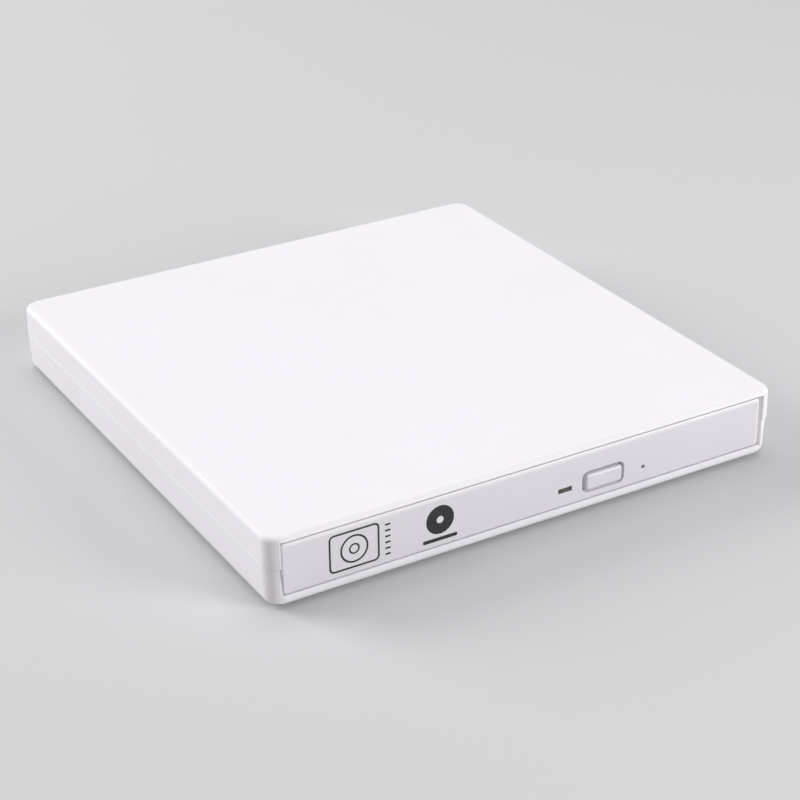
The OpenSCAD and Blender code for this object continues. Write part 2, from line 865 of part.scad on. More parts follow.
// One chassis screw that points down from the origin, its head above
module m2_screw() {
    difference() {
        union() {
            cylinder(h = m2_head_h, r = m2_head_r);
            translate([0, 0, -m2_l])
                cylinder(h = m2_l + 0.1, r = m2_r);
        }
        cross_recess(0, 0, m2_head_h);
    }
}

// Screws of the boards and of the chassis cover
module chassis_screws() {
    color("gray") {
        in_drive() {
            for (p = main_screws)
                translate([p[0], p[1], main_top])
                    m2_screw();
            for (sx = [-1, 1])
                translate([sx * cover_screw_x, chassis_d + cover_t, cover_screw_z])
                    rotate([-90, 0, 0])
                        m2_screw();
        }
        for (p = bridge_screws)
            translate([p[0], p[1], bridge_top])
                m2_screw();
    }
}

// Plastic channel on the chassis wall that carries a rail
module guide() {
    color("gainsboro") {
        block([guide_in, base_in], [slide_y, slide_y + guide_l], [guide_z, guide_z + guide_h]);
        for (z = [guide_z, guide_z + guide_h - guide_flange])
            block([guide_in - guide_reach, base_in], [slide_y, slide_y + guide_l], [z, z + guide_flange]);
    }
}

module left_guide() {
    on_side(-1)
        guide();
}

module right_guide() {
    on_side(1)
        guide();
}

// Steel channel between a guide and the tray
module rail() {
    color("silver")
        difference() {
            union() {
                block([rail_in, rail_out], [slide_y, slide_y + guide_l], [rail_z0, rail_z1]);
                for (z = [rail_z0, rail_z1 - rail_t])
                    block([rail_in - rail_reach, rail_out], [slide_y, slide_y + guide_l], [z, z + rail_t]);
            }
            for (y = [8, guide_l - 8])
                bar_x([rail_in - eps, rail_out + eps], slide_y + y, (rail_z0 + rail_z1) / 2, 0.7);
        }
}

module left_rail() {
    on_side(-1)
        rail();
}

module right_rail() {
    on_side(1)
        rail();
}

// Post on the chassis floor that the latch holds
module latch_post() {
    color("silver")
        in_drive()
            post(post_x, post_y, [base_t, tray_z + 2], post_r);
}

// Drive's circuit board behind the tray's deep part
module main_board() {
    color("darkgreen")
        in_drive()
            difference() {
                block([-main_x, main_x], [main_y0, main_y1], [main_z, main_top]);
                for (p = main_screws)
                    post(p[0], p[1], [main_z - eps, main_top + eps], m2_r + loose);
                block(
                    [-main_x - eps, -main_x + 6],
                    [main_y1 - 5, main_y1 + eps],
                    [main_z - eps, main_top + eps]
                );
            }
}

// Socket at the back of the drive, with its contact blade
module drive_socket() {
    z = main_top + socket_h / 2;
    color("black")
        in_drive() {
            difference() {
                block(
                    [socket_x - socket_w / 2, socket_x + socket_w / 2],
                    [chassis_d - socket_d, chassis_d],
                    [main_top, main_top + socket_h]
                );
                block(
                    [socket_x - plug_w / 2 + 0.9, socket_x + plug_w / 2 - 0.9],
                    [chassis_d - plug_reach - loose, chassis_d + eps],
                    [z - plug_nose_h / 2 - loose, z + plug_nose_h / 2 + loose]
                );
            }
            block(
                [socket_x - plug_w / 2 + 2.1, socket_x + plug_w / 2 - 2.1],
                [chassis_d - plug_reach - 1, chassis_d - 0.8],
                [z - 0.4, z + 0.4]
            );
        }
}

// Controller of the drive
module controller_chip() {
    color("black")
        in_drive()
            block([-main_x + 18, -main_x + 32], [main_y0 + 6.5, main_y0 + 18.5], [main_top, main_top + 1.4]);
}

// Connector that holds the ribbon on the main board
module ribbon_connector() {
    color("ivory")
        in_drive()
            difference() {
                block([ribbon_x0 - 2, ribbon_x1 + 2], [main_y0, main_y0 + 4.5], [main_top, main_top + 1.4]);
                block(
                    [ribbon_x0 - 0.1, ribbon_x1 + 0.1],
                    [main_y0 - eps, main_y0 + 3.5],
                    [main_top + 0.5, main_top + 0.9]
                );
            }
}

// Flat cable: from the main board along the floor, round a bend and back under the tray
module flex_ribbon() {
    z0 = base_t;
    z1 = under_z;
    zm = (z0 + z1) / 2;
    bend = (z1 - z0) / 2;
    zc = main_top + 0.6;
    color("orange")
        in_drive()
            translate([ribbon_x0, 0, 0])
                rotate([90, 0, 90])
                    linear_extrude(ribbon_x1 - ribbon_x0)
                        polygon(concat(
                            [[main_y0 + 3, zc], [main_y0 - 1, zc], [main_y0 - 4, z0]],
                            arc(ribbon_front, zm, bend, 270, 180),
                            arc(ribbon_front, zm, bend, 170, 90),
                            [[ribbon_end, z1], [ribbon_end, z1 - ribbon_t]],
                            arc(ribbon_front, zm, bend - ribbon_t, 90, 180),
                            arc(ribbon_front, zm, bend - ribbon_t, 190, 270),
                            [[main_y0 - 4 - ribbon_t / 2, z0 + ribbon_t]],
                            [[main_y0 - 1 - ribbon_t / 2, zc + ribbon_t], [main_y0 + 3, zc + ribbon_t]]
                        ));
}

// Housing of the ejector that pushes the tray out
module eject_housing() {
    color("gainsboro")
        in_drive()
            difference() {
                block(
                    [ejector_x - 2.6, ejector_x + 2.6],
                    [ejector_y0, ejector_y1],
                    [base_t, ejector_z + 2.4]
                );
                bar_y(ejector_x, [ejector_y0 + 1.5, ejector_y1 - 1.5], ejector_z, ejector_bore);
                bar_y(ejector_x, [ejector_y0 - eps, ejector_y0 + 3], ejector_z, ejector_r + 0.08);
            }
}

// Ejector's plunger, pressed back by the shut tray
module eject_plunger() {
    color("ivory")
        in_drive() {
            bar_y(ejector_x, [deep_y + 0.1, ejector_y1 - 7], ejector_z, ejector_r);
            bar_y(ejector_x, [deep_y + 0.1, deep_y + 1.6], ejector_z, ejector_r + 0.6);
            bar_y(ejector_x, [ejector_y1 - 8.5, ejector_y1 - 7], ejector_z, ejector_bore - 0.08);
        }
}

// Ejector's spring between the plunger's collar and the housing's end
module eject_spring() {
    color("silver")
        in_drive()
            difference() {
                bar_y(ejector_x, [ejector_y1 - 7, ejector_y1 - 1.5], ejector_z, ejector_bore - 0.3);
                bar_y(
                    ejector_x,
                    [ejector_y1 - 7 - eps, ejector_y1 - 1.5 + eps],
                    ejector_z,
                    ejector_bore - 0.7
                );
            }
}

// Hole in the tray for the turntable and the pickup's path, narrower by a margin
module sled_window(z, less) {
    post(0, 0, z, aperture_r - less);
    block([0, aperture_u - less], [-aperture_v + less, aperture_v - less], z);
}

// Moulded disc tray: recess, rim, side walls with their tongues, front and rear walls, bosses
module tray() {
    color("darkslategray")
        difference() {
            in_drive()
                difference() {
                    union() {
                        translate([0, (tray_front + tray_back) / 2, skin_z])
                            linear_extrude(rim_z - skin_z)
                                round_rect(tray_w, tray_d, 2);
                        for (sx = [-1, 1]) {
                            block(
                                [min(sx * side_in, sx * side_out), max(sx * side_in, sx * side_out)],
                                [tray_front, tray_back - 1],
                                [tray_z, skin_z + 0.1]
                            );
                            block(
                                [
                                    min(sx * (side_out - 0.1), sx * tongue_out),
                                    max(sx * (side_out - 0.1), sx * tongue_out)
                                ],
                                [slide_y + 0.5, tray_back - 1],
                                [tongue_z0, tongue_z1]
                            );
                        }
                        block(
                            [-side_out, side_out],
                            [tray_front, tray_front + tray_wall],
                            [tray_z, skin_z + 0.1]
                        );
                        block([-side_out, under_right], [deep_y - tray_wall, deep_y], [tray_z, skin_z + 0.1]);
                        block([rib_in, under_right], [rib_y, deep_y], [tray_z, skin_z + 0.1]);
                        for (p = tray_screws)
                            post(p[0], p[1], [tray_z, skin_z + 0.1], 2);
                    }
                    post(0, disc_y, [recess_z, rim_z + eps], recess_r);
                    post(0, disc_y, [recess_z - small_depth, rim_z + eps], small_r);
                    for (sx = [-1, 1], sy = [-1, 1])
                        post(sx * notch_at, disc_y + sy * notch_at, [recess_z + 0.5, rim_z + eps], notch_r);
                    block(
                        [button_x - button_w / 2 - 1.4, button_x + button_w / 2 + 1.4],
                        [tray_front - eps, tray_front + tray_wall + eps],
                        [0, button_z + button_h / 2 + 1]
                    );
                    block(
                        [led_x - led_w / 2 - 0.3, led_x + led_w / 2 + 0.3],
                        [tray_front - eps, tray_front + tray_wall + eps],
                        [led_z - led_h / 2 - 0.3, led_z + led_h / 2 + 0.3]
                    );
                    bar_y(pin_x, [tray_front - eps, tray_front + tray_wall + eps], pin_z, pin_r + 0.6);
                    for (p = tray_screws)
                        post(p[0], p[1], [tray_z - eps, skin_z - 1], tray_screw_r + fit);
                }
            in_traverse()
                sled_window([skin_z - eps, rim_z + eps], 0);
        }
    color("darkslategray")
        in_traverse()
            for (p = damper_spots)
                difference() {
                    post(p[0], p[1], [damper_z1, skin_z], 2.2);
                    post(p[0], p[1], [damper_z1 - eps, skin_z - 0.2], m2_r + fit);
                }
}

// Opening of the eject button, its front edge rolled over
module button_pocket() {
    w = button_w + 2 * button_gap;
    h = button_h + 2 * button_gap;
    r = button_r + button_gap;
    rolled = [
        for (i = [0 : arc_steps])
            let (a = 90 * i / arc_steps)
                [r + pocket_r * (1 - cos(a)), bezel_t - pocket_r + pocket_r * sin(a)]
    ];
    translate([button_x, plate_back, button_z])
        rotate([90, 0, 0])
            soft_box(
                w + 2 * pocket_r,
                h + 2 * pocket_r,
                r + pocket_r,
                concat([[0, -eps], [r, -eps]], rolled, [[r + pocket_r, bezel_t + eps], [0, bezel_t + eps]])
            );
}

// Front of the tray: plate with a rolled edge, rim, button hole, window and pinhole
module bezel() {
    color("lavender")
        in_drive()
            difference() {
                union() {
                    translate([0, plate_back, (drive_h - bezel_drop) / 2])
                        front_slab(bezel_w, drive_h + bezel_drop, bezel_t, bezel_corner_r, bezel_edge_r);
                    difference() {
                        block(
                            [-bezel_w / 2 + 0.3, bezel_w / 2 - 0.3],
                            [plate_back - 0.1, skirt_back],
                            [0.3, drive_h - 0.3]
                        );
                        block(
                            [-bezel_w / 2 + 1.3, bezel_w / 2 - 1.3],
                            [plate_back - 1, 1],
                            [1.3, drive_h - 1.3]
                        );
                    }
                }
                button_pocket();
                block(
                    [led_x - led_w / 2, led_x + led_w / 2],
                    [bezel_face - eps, plate_back + eps],
                    [led_z - led_h / 2, led_z + led_h / 2]
                );
                bar_y(pin_x, [bezel_face - eps, plate_back + eps], pin_z, pin_r);
            }
}

// Steel plate that closes the tray's underside and carries the latch's pivot
module under_plate() {
    color("silver")
        in_drive()
            difference() {
                union() {
                    block(
                        [-side_out + 0.2, under_right],
                        [tray_front + tray_wall, deep_y],
                        [under_z, tray_z]
                    );
                    post(latch_x, latch_y, [under_z, latch_z + latch_t + 0.8], pivot_r);
                }
                for (p = tray_screws)
                    post(p[0], p[1], [under_z - eps, tray_z + eps], tray_head_r + fit);
            }
}

// Flush screws of the under plate
module under_plate_screws() {
    color("dimgray")
        in_drive()
            for (p = tray_screws) {
                post(p[0], p[1], [under_z, tray_z], tray_head_r);
                post(p[0], p[1], [tray_z - 0.1, skin_z - 1.6], tray_screw_r);
            }
}

// Small board behind the bezel for the eject switch and the activity light
module tray_board() {
    color("darkgreen")
        in_drive()
            block([led_x - 3.4, button_x + 4.2], [0.2, switch_y + 4], [tray_z, tray_z + 0.8]);
}

// Side-push switch behind the eject button
module eject_switch() {
    z = tray_z + 0.8;
    color("silver")
        in_drive()
            difference() {
                block([button_x - 3, button_x + 3], [switch_y, switch_y + 3.6], [z, z + 2.6]);
                block(
                    [button_x - 1.3, button_x + 1.3],
                    [switch_y - eps, switch_y + 1.1],
                    [button_z - 0.7, button_z + 0.7]
                );
            }
}

// Moving part of the eject switch
module switch_actuator() {
    color("black")
        in_drive()
            block(
                [button_x - 1.2, button_x + 1.2],
                [stem_y, switch_y + 1.1 - button_travel - loose],
                [button_z - 0.6, button_z + 0.6]
            );
}

// Light source of the activity window
module activity_led() {
    z = tray_z + 0.8;
    color("palegreen")
        in_drive()
            block([led_x - 1, led_x + 1], [0.5, 1.7], [z, z + 1]);
}

// Light pipe from the activity window to its light source
module light_pipe() {
    color("rosybrown")
        in_drive()
            block(
                [led_x - led_w / 2 + loose, led_x + led_w / 2 - loose],
                [bezel_face + 0.25, 0.1],
                [led_z - led_h / 2 + loose, led_z + led_h / 2 - loose]
            );
}

// Eject button: rounded face, flange behind the bezel, stem to the switch
module eject_button() {
    color("lavender")
        in_drive() {
            translate([button_x, button_back, button_z])
                front_slab(
                    button_w,
                    button_h,
                    button_back - bezel_face + button_proud,
                    button_r,
                    button_edge_r
                );
            block(
                [button_x - button_w / 2 - button_lip, button_x + button_w / 2 + button_lip],
                [button_back, button_back + flange_t],
                [button_z - button_h / 2 - button_lip + 0.1, button_z + button_h / 2 + button_lip - 0.1]
            );
            block(
                [button_x - 1.2, button_x + 1.2],
                [button_back + 0.1, stem_y],
                [button_z - 0.6, button_z + 0.6]
            );
        }
}

// Pressed frame that carries the spindle motor, the rods and the sled's drive
module traverse_frame() {
    color("silver")
        difference() {
            union() {
                intersection() {
                    in_traverse()
                        block([frame_u0, frame_u1], [-frame_v, frame_v], [frame_z0, frame_z1]);
                    in_drive()
                        block([-side_in + 0.6, side_in], [0.6, deep_y], [0, drive_h]);
                }
                in_traverse() {
                    for (v = [-rod_v, rod_v]) {
                        rod_block([rod_u0 - 0.2, rod_u0 + 1.8], v);
                        rod_block([holder_u, rod_u1 + 0.2], v);
                    }
                    block(
                        [holder_u, holder_u + 2],
                        [screw_v - block_v, screw_v + block_v],
                        [frame_z1 - 0.1, screw_z + 1.6]
                    );
                    for (p = damper_spots)
                        damper_ear(p);
                }
            }
            in_traverse() {
                block(
                    [lens_in - body_in - 0.5, lens_in + sled_travel + body_out + 0.5],
                    [-body_v - 0.5, body_v + 0.5],
                    [frame_z0 - eps, frame_z1 + eps]
                );
                for (v = [-rod_v, rod_v])
                    bar_x([rod_u0, rod_u1], v, rod_z, rod_r + fit);
                bar_x([holder_u - eps, holder_u + 2 + eps], screw_v, screw_z, screw_r - 0.25 + shaft_gap);
                for (p = damper_spots)
                    post(p[0], p[1], [frame_z0 - eps, damper_z1], damper_neck + fit);
            }
        }
}

// Block on the frame that holds one end of a rod
module rod_block(u, v) {
    block(u, [v - block_v, v + block_v], [frame_z1 - 0.1, rod_z + 1.4]);
}

// Raised ear around a damper, joined to the frame's edge
module damper_ear(p) {
    inner_v = sign(p[1]) * (frame_v - 2);
    step_v = sign(p[1]) * (frame_v + 1);
    end_v = p[1] + sign(p[1]) * (damper_r + 0.6);
    reach = damper_r + 0.6;
    if (p[1] == 0) {
        block([p[0] - reach, frame_u0 + 1], [-reach, reach], [ear_z, ear_z + ear_t]);
        block([frame_u0, frame_u0 + 2], [-reach, reach], [frame_z0, ear_z + ear_t]);
    } else {
        u = [p[0] - reach, p[0] + reach];
        block(u, [min(inner_v, end_v), max(inner_v, end_v)], [ear_z, ear_z + ear_t]);
        block(u, [min(inner_v, step_v), max(inner_v, step_v)], [frame_z0, ear_z + ear_t]);
    }
}

// Rubber dampers in the frame's ears
module dampers() {
    color("black")
        in_traverse()
            for (p = damper_spots)
                difference() {
                    union() {
                        post(p[0], p[1], [damper_z0, ear_z], damper_r);
                        post(p[0], p[1], [ear_z - 0.1, ear_z + ear_t + 0.1], damper_neck);
                        post(p[0], p[1], [ear_z + ear_t, damper_z1], damper_r);
                    }
                    post(p[0], p[1], [damper_z0 - eps, damper_z1 + eps], m2_r + loose);
                }
}

// Shoulder screws through the dampers into the tray
module damper_screws() {
    color("gray")
        in_traverse()
            for (p = damper_spots) {
                post(p[0], p[1], [damper_z0 - 0.7, damper_z0], 1.9);
                post(p[0], p[1], [damper_z0 - 0.1, skin_z - 0.4], m2_r);
            }
}

// Cover of the sled in the tray's window, on two legs
module shield_plate() {
    z = [shield_z, shield_z + shield_t];
    color("lightslategray")
        in_traverse() {
            difference() {
                sled_window(z, 0.4);
                post(0, 0, [z[0] - eps, z[1] + eps], turntable_r + 0.8);
                block(
                    [lens_in - body_in - 1, aperture_u - 4],
                    [-7.5, 7.5],
                    [z[0] - eps, z[1] + eps]
                );
            }
            block([aperture_u - 0.9, aperture_u - 0.4], [-8, 8], [frame_z1, z[1]]);
            block([-aperture_r + 0.5, -aperture_r + 1], [-3, 3], [frame_z1, z[1]]);
        }
}

// Motor base with its sleeve and the poles of its coils
module spindle_stator() {
    pole_z = [frame_z1 + 0.8, frame_z1 + 2.2];
    color("peru")
        in_traverse()
            difference() {
                union() {
                    post(0, 0, [frame_z1, frame_z1 + stator_t], rotor_r + 1);
                    post(0, 0, [frame_z1, rotor_z1 - 0.9], shaft_r + 1.3);
                    for (a = [0 : 40 : 320])
                        rotate(a) {
                            block([shaft_r + 1, rotor_r - 2], [-0.8, 0.8], pole_z);
                            block([rotor_r - 2.4, rotor_r - 1.5], [-2.4, 2.4], pole_z);
                        }
                }
                post(0, 0, [frame_z1 + stator_t, rotor_z1], shaft_r + shaft_gap);
            }
}

// Motor's cup with its shaft
module spindle_rotor() {
    color("silver")
        in_traverse() {
            difference() {
                post(0, 0, [frame_z1 + 0.7, rotor_z1], rotor_r);
                post(0, 0, [frame_z1, rotor_z1 - 0.6], rotor_r - 0.7);
            }
            post(0, 0, [frame_z1 + stator_t + loose, rotor_z1 - 0.1], shaft_r);
        }
}

// Turntable with the disc's spigot and the claws' slots
module turntable() {
    color("gray")
        in_traverse()
            difference() {
                union() {
                    post(0, 0, [rotor_z1, hub_z + 0.1], 6);
                    post(0, 0, [hub_z, table_z], turntable_r);
                    post(0, 0, [hub_z + 0.1, spigot_top], spigot_r);
                    translate([0, 0, spigot_top])
                        cylinder(h = hub_top - spigot_top, r1 = spigot_r - 0.05, r2 = spigot_r - 1.2);
                }
                for (a = [0 : 120 : 240])
                    rotate(a)
                        block(
                            [3, spigot_r + 1],
                            [-claw_w / 2 - loose, claw_w / 2 + loose],
                            [spigot_top + loose, hub_top + eps]
                        );
                post(0, 0, [hub_top - 0.6, hub_top + eps], 2.2);
            }
}

// Rubber ring under the disc
module turntable_pad() {
    color("black")
        in_traverse()
            difference() {
                post(0, 0, [table_z, table_z + pad_t], turntable_r - 0.4);
                post(0, 0, [table_z - eps, table_z + pad_t + eps], pad_in);
            }
}

// Sprung claw that holds the disc's inner edge
module claw(turn) {
    nose = spigot_r + claw_proud;
    z0 = spigot_top + 2 * loose;
    z1 = hub_top - loose;
    color("white")
        in_traverse()
            rotate(turn)
                translate([0, claw_w / 2, 0])
                    rotate([90, 0, 0])
                        linear_extrude(claw_w)
                            polygon([
                                [3.8, z0], [nose - 0.4, z0], [nose, z0 + 0.3], [spigot_r - 0.9, z1], [3.8, z1]
                            ]);
}

module claw_a() {
    claw(0);
}

module claw_b() {
    claw(120);
}

module claw_c() {
    claw(240);
}

// Rod on which the pickup runs
module guide_rod(v) {
    color("silver")
        in_traverse()
            bar_x([rod_u0, rod_u1], v, rod_z, rod_r);
}

module main_rod() {
    guide_rod(rod_v);
}

module sub_rod() {
    guide_rod(-rod_v);
}

// Screw that moves the pickup, with its shaft into the motor
module lead_screw() {
    color("silver")
        in_traverse() {
            bar_x([rod_u0 + 1, holder_u - 0.3], screw_v, screw_z, screw_r);
            bar_x([5, rod_u0 + 1.1], screw_v, screw_z, screw_r - 0.25);
            bar_x([holder_u - 0.4, holder_u + 2.2], screw_v, screw_z, screw_r - 0.25);
        }
}

// Flat-sided stepping motor of the sled
module sled_motor() {
    color("dimgray")
        in_traverse()
            difference() {
                intersection() {
                    bar_x([0, rod_u0 - 0.3], screw_v, screw_z, 3.6);
                    block([0, rod_u0], [screw_v - 4, screw_v + 4], [frame_z1, skin_z - 0.1]);
                }
                bar_x([4, rod_u0], screw_v, screw_z, screw_r - 0.25 + shaft_gap);
            }
}

// Optical pickup's body with its bearings on the rods
module pickup_body() {
    color("darkgray")
        in_traverse()
            difference() {
                union() {
                    block(
                        [lens_in - body_in, lens_in + body_out],
                        [-body_v, body_v],
                        [pickup_z0, pickup_z1]
                    );
                    for (s = [-1, 1])
                        block(
                            [lens_in - 6, lens_in + 3],
                            [
                                min(s * (body_v - 1), s * (rod_v + block_v)),
                                max(s * (body_v - 1), s * (rod_v + block_v))
                            ],
                            [frame_z1 + 0.15, rod_z + rod_r + 0.2]
                        );
                }
                for (v = [-rod_v, rod_v])
                    bar_x([lens_in - 7, lens_in + 4], v, rod_z, rod_r + sled_gap);
                block(
                    [lens_in - body_in - eps, lens_in - body_in + 2],
                    [-4, 4],
                    [pickup_z1 - 1.2, pickup_z1 + eps]
                );
            }
}

// Nut that follows the lead screw, on its arm over the rod
module sled_nut() {
    u = [lens_in - body_in + 0.2, lens_in - 6.2];
    color("ivory")
        in_traverse()
            difference() {
                union() {
                    block(u, [body_v, screw_v + 1.8], [rod_z + rod_r + 0.3, pickup_z1 - 0.1]);
                    block(u, [screw_v - block_v, screw_v + block_v], [frame_z1 + 0.3, pickup_z1 - 0.1]);
                }
                bar_x([u[0] - eps, u[1] + eps], screw_v, screw_z, screw_r + sled_gap);
            }
}

// Sprung holder of the objective lens
module lens_holder() {
    color("dimgray")
        in_traverse()
            difference() {
                block([lens_in - 5, lens_in + 4], [-5.5, 5.5], [holder_z0, holder_z1]);
                post(lens_in, 0, [holder_z0 - eps, holder_z1 + eps], lens_r + fit);
                for (s = [-1, 1])
                    block(
                        [lens_in - 4, lens_in + 3],
                        [s * 4 - 0.6, s * 4 + 0.6],
                        [holder_z0 - eps, holder_z1 + eps]
                    );
            }
}

// Objective lens
module objective_lens() {
    from = acos(lens_r / dome_r);
    color("lightblue")
        in_traverse()
            translate([lens_in, 0, 0])
                rotate_extrude()
                    polygon(concat(
                        [[0, holder_z0], [lens_r, holder_z0]],
                        arc(0, holder_z1 - dome_r * sin(from), dome_r, from, 90)
                    ));
}

// Lever that holds the tray shut: hook, release tail and crank, turned to its released place
module latch_lever() {
    z = [latch_z, latch_z + latch_t];
    color("gainsboro")
        in_drive()
            translate([latch_x, latch_y, 0])
                rotate(-latch_swing)
                    difference() {
                        union() {
                            translate([0, 0, z[0]])
                                linear_extrude(latch_t) {
                                    circle(r = 2.4);
                                    polygon([
                                        [-2.2, -0.5], [hook_x - 6.5, hook_y], [hook_x, hook_y],
                                        [hook_x - 0.6, hook_y + 2.6], [hook_x - 3.5, hook_y + 2.6], [2.3, 0.5]
                                    ]);
                                    polygon([
                                        [-2.2, 1], [tail_x - 1.5, tail_y], [tail_x + 1.5, tail_y],
                                        [tail_x + 3.3, tail_y + 2.9], [1.2, -2]
                                    ]);
                                    polygon([[-2.3, 0], [-3, crank + 1.2], [0, crank + 1.2], [2.3, 0]]);
                                }
                            block([tail_x - 1.5, tail_x + 1.5], [tail_y, tail_y + 1.4], [z[0], z[1] + 0.8]);
                            post(crank_x, crank, [z[0], plunger_z + 0.7], crank_pin_r);
                        }
                        post(0, 0, [z[0] - eps, z[1] + eps], pivot_r + sled_gap);
                    }
}

// Coil that moves the latch
module solenoid() {
    color("sienna")
        in_drive()
            difference() {
                block(
                    [solenoid_x0, solenoid_x1],
                    [plunger_y - solenoid_w / 2, plunger_y + solenoid_w / 2],
                    [tray_z, skin_z - 0.4]
                );
                bar_x([solenoid_x0 + 3, solenoid_x1 + eps], plunger_y, plunger_z, plunger_r + sled_gap);
                for (s = [-1, 1])
                    block(
                        [solenoid_x0 + 2, solenoid_x1 - 2],
                        [plunger_y + s * solenoid_w / 2 - 1, plunger_y + s * solenoid_w / 2 + 1],
                        [tray_z + 0.6, skin_z]
                    );
            }
}

// Solenoid's plunger with the slot that takes the lever's crank pin
module solenoid_plunger() {
    color("silver")
        in_drive()
            difference() {
                union() {
                    bar_x([solenoid_x0 + 6, crank_rest_x - 4], plunger_y, plunger_z, plunger_r);
                    block(
                        [crank_rest_x - 4.5, crank_rest_x + 1.8],
                        [plunger_y - 2.6, plunger_y + 2.6],
                        [plunger_z - 0.5, plunger_z + 0.6]
                    );
                }
                block(
                    [crank_rest_x - crank_pin_r - 0.15, crank_rest_x + crank_pin_r + 0.15],
                    [plunger_y - 1.6, plunger_y + 1.6],
                    [plunger_z - 2, plunger_z + 2]
                );
            }
}

lower_shell();
upper_shell();
case_screws();
rubber_feet();
bridge_board();
bridge_plug();
bridge_chip();
usb_socket();
usb_tongue();
power_jack();
power_jack_pin();
chassis_base();
chassis_cover();
chassis_screws();
left_guide();
right_guide();
latch_post();
main_board();
drive_socket();
controller_chip();
ribbon_connector();
flex_ribbon();
eject_housing();
eject_plunger();
eject_spring();
left_rail();
right_rail();
tray();
bezel();
under_plate();
under_plate_screws();
tray_board();
eject_switch();
switch_actuator();
activity_led();
light_pipe();
eject_button();
traverse_frame();
dampers();
damper_screws();
shield_plate();
spindle_stator();
spindle_rotor();
turntable();
turntable_pad();
claw_a();
claw_b();
claw_c();
main_rod();
sub_rod();
lead_screw();
sled_motor();
pickup_body();
sled_nut();
lens_holder();
objective_lens();
latch_lever();
solenoid();
solenoid_plunger();
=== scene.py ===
"""Looks of the external disc drive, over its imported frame. Metres, in the frame's own axes."""

import json
import logging
import math
from abc import ABC, abstractmethod
from dataclasses import dataclass
from enum import Enum
from typing import Any, Callable, ClassVar, Dict, List, Optional, Sequence, Tuple, Union

import bmesh
import bpy
from mathutils import Matrix, Vector

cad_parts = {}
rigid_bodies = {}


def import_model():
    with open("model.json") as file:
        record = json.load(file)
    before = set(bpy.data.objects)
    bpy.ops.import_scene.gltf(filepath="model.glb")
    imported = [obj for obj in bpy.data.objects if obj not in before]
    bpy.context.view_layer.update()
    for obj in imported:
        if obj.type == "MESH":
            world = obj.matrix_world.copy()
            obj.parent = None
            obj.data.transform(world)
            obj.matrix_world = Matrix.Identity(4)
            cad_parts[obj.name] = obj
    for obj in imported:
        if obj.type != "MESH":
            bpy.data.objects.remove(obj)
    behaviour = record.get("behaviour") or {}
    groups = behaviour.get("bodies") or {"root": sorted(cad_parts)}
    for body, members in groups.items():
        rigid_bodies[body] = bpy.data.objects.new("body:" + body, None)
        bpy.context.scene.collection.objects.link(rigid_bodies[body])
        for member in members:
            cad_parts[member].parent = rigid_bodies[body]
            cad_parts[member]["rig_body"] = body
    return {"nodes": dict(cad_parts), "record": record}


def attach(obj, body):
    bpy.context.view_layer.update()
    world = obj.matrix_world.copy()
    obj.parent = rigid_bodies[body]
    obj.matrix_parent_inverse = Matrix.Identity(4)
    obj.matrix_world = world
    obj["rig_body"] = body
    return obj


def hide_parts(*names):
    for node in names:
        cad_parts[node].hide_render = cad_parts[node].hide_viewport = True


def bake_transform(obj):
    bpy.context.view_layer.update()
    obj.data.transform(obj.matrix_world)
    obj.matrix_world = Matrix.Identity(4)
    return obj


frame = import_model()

LOG = logging.getLogger("disc_drive")
MM = 0.001
FLAT = math.cos(math.radians(0.6))
SHARP = math.radians(38)
RIGHT_ANGLE = math.radians(90)
OCTAVE_SHARE = 0.55
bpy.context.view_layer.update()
Colour = Tuple[float, float, float]
Point = Tuple[float, float, float]
Pair = Tuple[float, float]
Outline = Sequence[Pair]
Mesh = bpy.types.Mesh
Settings = Optional[Dict[str, Any]]
Inputs = Optional[Dict[Union[int, str], Any]]


def _operator(operation: str, reflected: bool = False) -> Callable[["Field", Any], "Field"]:
    """Makes an operator of Field, as one Math node.

    Args:
        operation: The Math node's operation.
        reflected: Whether the other value comes first.

    Returns:
        The operator.
    """
    def operator(self: "Field", other: Any) -> "Field":
        """Adds the node."""
        return self.math(operation, other, self) if reflected else self.math(operation, self, other)

    return operator


class Field:
    """A shader value that takes part in Python expressions."""

    __add__, __radd__ = _operator("ADD"), _operator("ADD", True)
    __sub__, __rsub__ = _operator("SUBTRACT"), _operator("SUBTRACT", True)
    __mul__, __rmul__ = _operator("MULTIPLY"), _operator("MULTIPLY", True)
    __truediv__ = _operator("DIVIDE")
    __lt__, __gt__ = _operator("LESS_THAN"), _operator("GREATER_THAN")

    def __init__(self, net: "Net", socket: bpy.types.NodeSocket) -> None:
        """Keeps the net and the socket that the value comes from."""
        self.net = net
        self.socket = socket

    def math(self, operation: str, *values: Any) -> "Field":
        """Adds one Math node with its inputs in order, and gives its result."""
        made = self.net.out("ShaderNodeMath", {"operation": operation}, dict(enumerate(values)))
        return Field(self.net, made)

    def __abs__(self) -> "Field":
        """Size without sign."""
        return self.math("ABSOLUTE", self)

    def stripes(self, pitch: float) -> "Field":
        """Distance from the nearest line of a row, as a share of the pitch from 0 to 0.5."""
        return abs(self.math("FRACT", self / pitch) - 0.5)

    def step(self, low: float, high: float) -> "Field":
        """Smooth step from 0 at the low value to 1 at the high one."""
        inputs = {"Value": self, "From Min": low, "From Max": high}
        return Field(self.net, self.net.out("ShaderNodeMapRange", {"interpolation_type": "SMOOTHSTEP"}, inputs))


